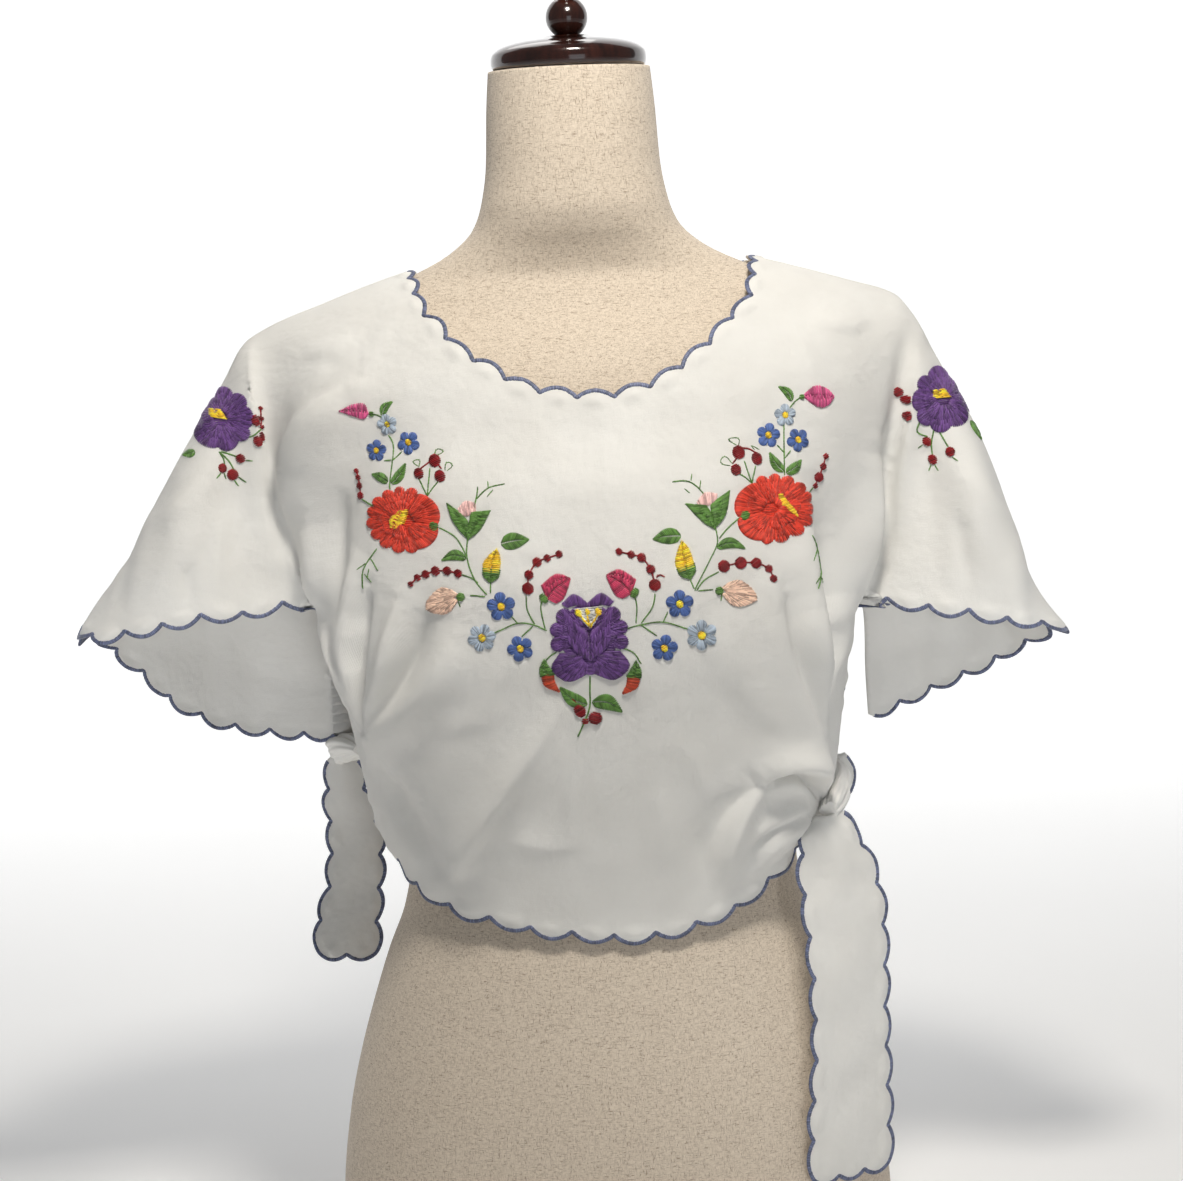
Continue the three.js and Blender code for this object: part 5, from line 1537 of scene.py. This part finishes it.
def centre_flower():
    axis = -2.5
    centre = (axis, 424)
    ground("purple", axis, 424, 17, 19)
    ground("purple", axis, 409, 12, 8)
    for side in (-1, 1):
        def turn(angle):
            return angle if side > 0 else 180 - angle
        for start, end in ((26, 54), (0, 26), (-26, 0)):
            lobe("purple", centre, (23.5, 23.5), turn(start), turn(end), 0.50, 1.0, 0.1, 0.7)
        for start, end in ((40, 66), (12, 40), (-14, 12)):
            lobe("purple", centre, (23.5, 23.5), turn(start), turn(end), 0.30, 0.72, 0.7, 0.6)

        def at(dx, z):
            return axis + side * dx, z

        fill("purple", [at(2, 414), at(4, 411), at(2, 407)],
             [at(18, 414), at(23, 405), at(14, 397), at(2, 401)], 0.2, 0.9)
        fill("purple", [at(3, 413), at(5, 411), at(4, 408)],
             [at(14, 412), at(17, 406), at(10, 400)], 1.0, 0.5)
        fill("purple", [at(14, 440), at(9, 434), at(1, 427)],
             [at(12, 420), at(7, 413), at(1, 409)], 0.9, 0.6)
        fill("purple", [at(9, 433), at(5, 430), at(1, 426)],
             [at(6, 417), at(4, 413), at(1, 409)], 1.5, 0.4)
        fill("purple", [at(12, 441), at(7, 442), at(1, 441)],
             [at(15, 444), at(8, 449), at(0.5, 444)], 0.3, 0.7)
    fill("white", [(-11, 440), (-9, 436), (-2.5, 429)], [(6, 441), (4.5, 436), (-1, 429)], 1.1, 0.2)
    for points in ([(-8, 438), (-5.5, 434), (-2, 430)], [(3.5, 438), (1.5, 434), (-1.5, 430)],
                   [(-3, 438), (-3, 435), (-2, 431)]):
        stem("yellow", points, 0.8, 1.5)
    for x, z, width in ((-8.2, 438, 4.6), (-2.8, 438.6, 3.6), (3.4, 438.2, 4.6), (-1.8, 430.5, 3.2)):
        dot("yellow", x, z, width, width, 0.5, 1.6, 0.5)
    stem("green", [(-3, 400), (-3.5, 391), (-4, 381), (-8, 371), (-12, 363)], 0.55)
    leaf("green", (-5, 382), (-21, 394), 8.0, 1.8)
    leaf("green", (-3, 384), (15, 377), 9.5, 2.8)
    stem("dark_red", [(-14, 387), (-12, 384), (-10, 380)], 0.6)
    dot("dark_red", -10, 379, 7.0, 8.4, 0.5, 0.3, 0.8)
    dot("dark_red", -1, 374, 8.6, 7.4, -0.3, 0.3, 0.8)
    dot("dark_red", -7, 372.5, 4.6, 3.2, 0.0, 0.2, 0.5)
    strawberry(-29, 402, -1)
    strawberry(23.5, 399, 1)
    stems([(-22, 415), (-27, 412), (-30, 407)], [(16, 416), (23, 413), (27, 406)])


def strawberry(x, z, facing):
    """A red fruit whose tip points to the middle, under a green leafy cap."""
    fill("orange_red", [(x + facing * 3, z), (x + facing * 1, z - 7), (x - facing * 7, z - 11)],
         [(x - facing * 5, z), (x - facing * 5.5, z - 5), (x - facing * 8, z - 10)], 0.25, 0.7)
    fill("green", [(x + facing * 3.5, z - 1), (x + facing * 3.5, z + 4), (x + facing * 1, z + 9)],
         [(x - facing * 5.5, z), (x - facing * 3, z + 4), (x, z + 9)], 0.5, 0.6)


def sleeve_flower(x, z, half_x, half_z, lean):
    """The sleeves' open purple flower: outer petals, a folded upper rim and a yellow heart."""
    radii = (half_x, half_z)
    ground("purple", x, z, half_x * 0.6, half_z * 0.6)
    outer = [(60, 104), (104, 150), (22, 60), (-22, 22), (150, 196), (196, 262), (262, 306), (306, 338)]
    for start, end in outer:
        lobe("purple", (x, z), radii, start + lean, end + lean, 0.44, 1.0, 0.1, 0.7)
    for start, end in ((30, 86), (86, 142), (142, 190), (-24, 30), (196, 256), (256, 330)):
        lobe("purple", (x, z), radii, start + lean, end + lean, 0.2, 0.66, 0.7, 0.6)
    fill("yellow", [(x - 7, z + 5), (x - 7, z + 1)], [(x + 1, z + 5), (x + 4, z)], 1.3, 0.5)


def sleeves():
    sleeve_flower(-223, 553, 20, 19.5, 0)
    stems([(-210, 541), (-205, 542), (-199, 546)])
    stems(
        [(-225, 534), (-222, 529), (-222, 526)], [(-225, 534), (-219, 528), (-216, 522)],
        [(-224, 534), (-218, 532), (-214, 530)], radius=BOLD_RADIUS,
    )
    stems(
        [(-224, 521), (-227, 518)], [(-222, 521), (-221, 517)], [(-216, 516), (-214, 512)],
        [(-214, 518), (-210, 514)], [(-210, 528), (-206, 527)],
    )
    berries(
        (-202, 551, 6.4), (-202, 539, 6.2), (-198, 542, 5.4), (-223, 524, 5.6), (-212.5, 529, 5.4),
        (-217, 519.5, 6.8),
    )
    beads((-196.5, 559, 2.4), (-196.5, 553, 2.8), (-197, 548, 3.4))
    leaf("green", (-238, 533), (-246, 530), 4.2, 0.4)
    sleeve_flower(221, 546, 19, 20.5, 180)
    stems(
        [(207, 533), (205, 527), (211, 524)], [(215, 528), (213, 520), (213, 513)],
        [(218, 527), (221, 521), (223, 517)], radius=BOLD_RADIUS,
    )
    stems(
        [(212, 507), (210, 503)], [(214, 507), (216, 503)], [(225, 511), (228, 508)],
        [(208, 519), (205, 517)],
    )
    berries(
        (195.5, 552, 6.0), (199, 547, 5.0), (199.5, 537, 6.0), (210.5, 521, 5.8), (213, 510, 6.0),
        (224, 514, 5.6),
    )
    leaf("green", (236, 531), (243, 519), 4.2, 0.4)


THREAD_COLOURS = {
    "purple": (0.13, 0.055, 0.215), "red": (0.62, 0.050, 0.026), "dark_red": (0.24, 0.006, 0.010),
    "yellow": (1.0, 0.64, 0.040), "blue": (0.068, 0.125, 0.34), "pale_blue": (0.38, 0.45, 0.54),
    "green": (0.105, 0.23, 0.048), "magenta": (0.52, 0.050, 0.12), "pink": (0.58, 0.09, 0.24),
    "pale_pink": (0.82, 0.52, 0.50), "peach": (0.80, 0.54, 0.42), "orange_red": (0.52, 0.065, 0.025),
    "white": (0.80, 0.79, 0.76),
}

left_cluster()
right_cluster()
centre_flower()
sleeves()

for colour_name, rows in threads.items():
    stitches = thread_mesh("stitches_" + colour_name, np.vstack(rows))
    material = thread_material("thread_" + colour_name, THREAD_COLOURS[colour_name])
    give(stitches, material)

# ---------------------------------------------------------------- the dress form


FORM_STEP = 4.0              # height between two sections
FORM_AROUND = 144
WOOD_AROUND = 96
WOOD_SAMPLES = 10            # rings between two points of a turned profile


def form_body():
    """The padded torso: smooth level sections from the flat base to the top of the neck."""
    top = FORM_SECTIONS["z"][-1]
    heights = np.concatenate([np.arange(0, top, FORM_STEP), [top]])
    angle = circle(FORM_AROUND)
    c, s = np.cos(angle), np.sin(angle)
    rings = []
    for z in heights:
        value = {name: at_height(FORM_SECTIONS, name, z) for name in FORM_SECTIONS}
        share = 2 / value["power"]
        depth = np.where(s < 0, value["front"], value["back"])
        x = np.sign(c) * value["width"] * np.abs(c) ** share
        y = value["centre"] + np.sign(s) * depth * np.abs(s) ** share
        rings.append(np.stack([x, y, np.full(FORM_AROUND, z)], 1))
    return add_tube("form_linen", rings)


def turned(name, profile):
    """A turned wooden piece from its half profile, smooth between the profile's points."""
    angle = circle(WOOD_AROUND)
    curve = spline_points(np.array(profile, float), WOOD_SAMPLES)
    rings = [
        np.stack([r * np.cos(angle), r * np.sin(angle), np.full(WOOD_AROUND, z)], 1)
        for r, z in curve if r > 0.5
    ]
    return add_tube(name, rings)


torso = form_body()
give(torso, LINEN)
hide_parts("torso")

BALL_TURN = 1.01             # radians of the ball's profile above and below its middle
BALL_SINK = 2                # the ball's flattened foot, cut off its full round
ball_centre = CAP_TOP + SEAM_GAP + BALL_RADIUS - BALL_SINK
ball_top = ball_centre + BALL_RADIUS * math.sin(BALL_TURN)
finial_base = ball_top + SEAM_GAP
finial_height = FINIAL_TOP - finial_base

CAP_PROFILE = [
    (44, 0), (CAP_RADIUS - 1.5, 0.6), (CAP_RADIUS, 3), (CAP_RADIUS, 8), (CAP_RADIUS - 1.5, 11),
    (CAP_RADIUS - 6, 14), (34, 16.5), (22, 18.4), (17, 19.4), (15, 20),
]
FINIAL_PROFILE = [
    (7.5, 0), (6.5, 0.08), (8, 0.17), (12, 0.3), (16, 0.45), (18, 0.6), (17, 0.75), (12, 0.88),
    (6, 0.97), (1, 1),
]
for wood_name, wood_node, wood_profile in (
    ("cap_wood", "neck_cap", [(r, CAP_BOTTOM + z) for r, z in CAP_PROFILE]),
    ("ball_wood", "ball", [
        (BALL_RADIUS * math.cos(a), ball_centre + BALL_RADIUS * math.sin(a))
        for a in np.linspace(-BALL_TURN, BALL_TURN, 12)
    ]),
    ("finial_wood", "finial", [(r, finial_base + share * finial_height) for r, share in FINIAL_PROFILE]),
):
    wood = turned(wood_name, wood_profile)
    give(wood, WOOD)
    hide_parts(wood_node)

# ---------------------------------------------------------------- floor and light


FLOOR_DROP = 0.0005          # metres below the form's base


def add_floor():
    """A pale studio sweep: a floor that curves up into a wall behind. It glows, faintly on the floor in
    front and more and more towards the wall: painted light.
    """
    half_width = 6.0
    radius = 1.5
    back_y = 3.0
    steps = 12
    profile = [(-half_width, 0.0)]
    for i in range(steps + 1):
        angle = i / steps * math.pi / 2
        profile.append((back_y - radius + radius * math.sin(angle), radius - radius * math.cos(angle)))
    profile.append((back_y, 6.0))
    vertices = [(x, y, z - FLOOR_DROP) for y, z in profile for x in (-half_width, half_width)]
    faces = [(2 * i, 2 * i + 1, 2 * i + 3, 2 * i + 2) for i in range(len(profile) - 1)]
    floor = add_object("studio_floor", np.array(vertices) / MM, faces)
    material, nodes, links, shader = new_material("glowing_floor_paper", 0.9, Specular_IOR_Level=0.1)
    place = add_node(nodes, "TexCoord").outputs["Object"]
    tone = noise(nodes, links, place, 3, 2)
    links.new(ramp(nodes, links, tone, [(0.3, (0.86, 0.86, 0.86)), (0.7, (0.88, 0.88, 0.88))]),
              shader.inputs["Base Color"])
    # painted light: the sweep glows, from faint on the floor in front to bright on the wall behind
    split = add_node(nodes, "SeparateXYZ")
    links.new(place, split.inputs["Vector"])
    glow = add_node(nodes, "MapRange", {"From Min": 0.2, "From Max": 2.4, "To Min": 0.06, "To Max": 0.8})
    links.new(split.outputs["Y"], glow.inputs["Value"])
    links.new(glow.outputs["Result"], shader.inputs["Emission Strength"])
    shader.inputs["Emission Color"].default_value = (1, 1, 1, 1)
    floor.data.materials.append(material)


LOW_LIGHT_CONE = 15          # degrees
LOW_LIGHT_BLEND = 0.9
LOW_LIGHT_RADIUS = 0.12


def place_light(data, place, target):
    light = bpy.data.objects.new(data.name, data)
    light.location = place
    light.rotation_euler = (Vector(target) - Vector(place)).to_track_quat("-Z", "Y").to_euler()
    bpy.context.scene.collection.objects.link(light)


def add_light(name, place, target, size, power, colour):
    data = bpy.data.lights.new(name, "AREA")
    data.shape = "RECTANGLE"
    data.size, data.size_y = size
    data.energy = power
    data.color = colour
    place_light(data, place, target)


def add_low_light(name, place, target, power):
    """A soft narrow light from below, into a sleeve or onto the hip."""
    data = bpy.data.lights.new(name, "SPOT")
    data.energy = power
    data.spot_size = math.radians(LOW_LIGHT_CONE)
    data.spot_blend = LOW_LIGHT_BLEND
    data.shadow_soft_size = LOW_LIGHT_RADIUS
    place_light(data, place, target)


def set_colours():
    """Plain colour management, so that the dyes keep their strength."""
    settings = bpy.context.scene.view_settings
    settings.view_transform = "Standard"
    settings.look = "None"


def add_world(strength):
    world = bpy.data.worlds.new("studio")
    world.use_nodes = True
    background = world.node_tree.nodes["Background"]
    background.inputs["Color"].default_value = (0.94, 0.97, 1, 1)
    background.inputs["Strength"].default_value = strength
    bpy.context.scene.world = world


add_floor()
set_colours()
add_world(0.13)
add_light("key", (0.10, -0.62, 1.36), (0, -0.05, 0.46), (0.20, 0.20), 11, (1, 0.95, 0.87))
add_light("fill", (0.5, -2.2, 0.5), (0, 0, 0.40), (0.9, 0.9), 2.6, (0.90, 0.96, 1))
add_light("back", (-0.2, 1.0, 2.0), (0, 0, 0.55), (0.9, 0.9), 4, (1, 0.98, 0.95))
add_low_light("low_left", (-0.75, -0.95, 0.08), (-0.245, 0.04, 0.40), 20)
add_low_light("low_right", (0.75, -0.95, 0.08), (0.24, 0.04, 0.39), 24)
add_low_light("low_hip", (0.55, -1.2, 0.1), (0.14, -0.07, 0.17), 13)
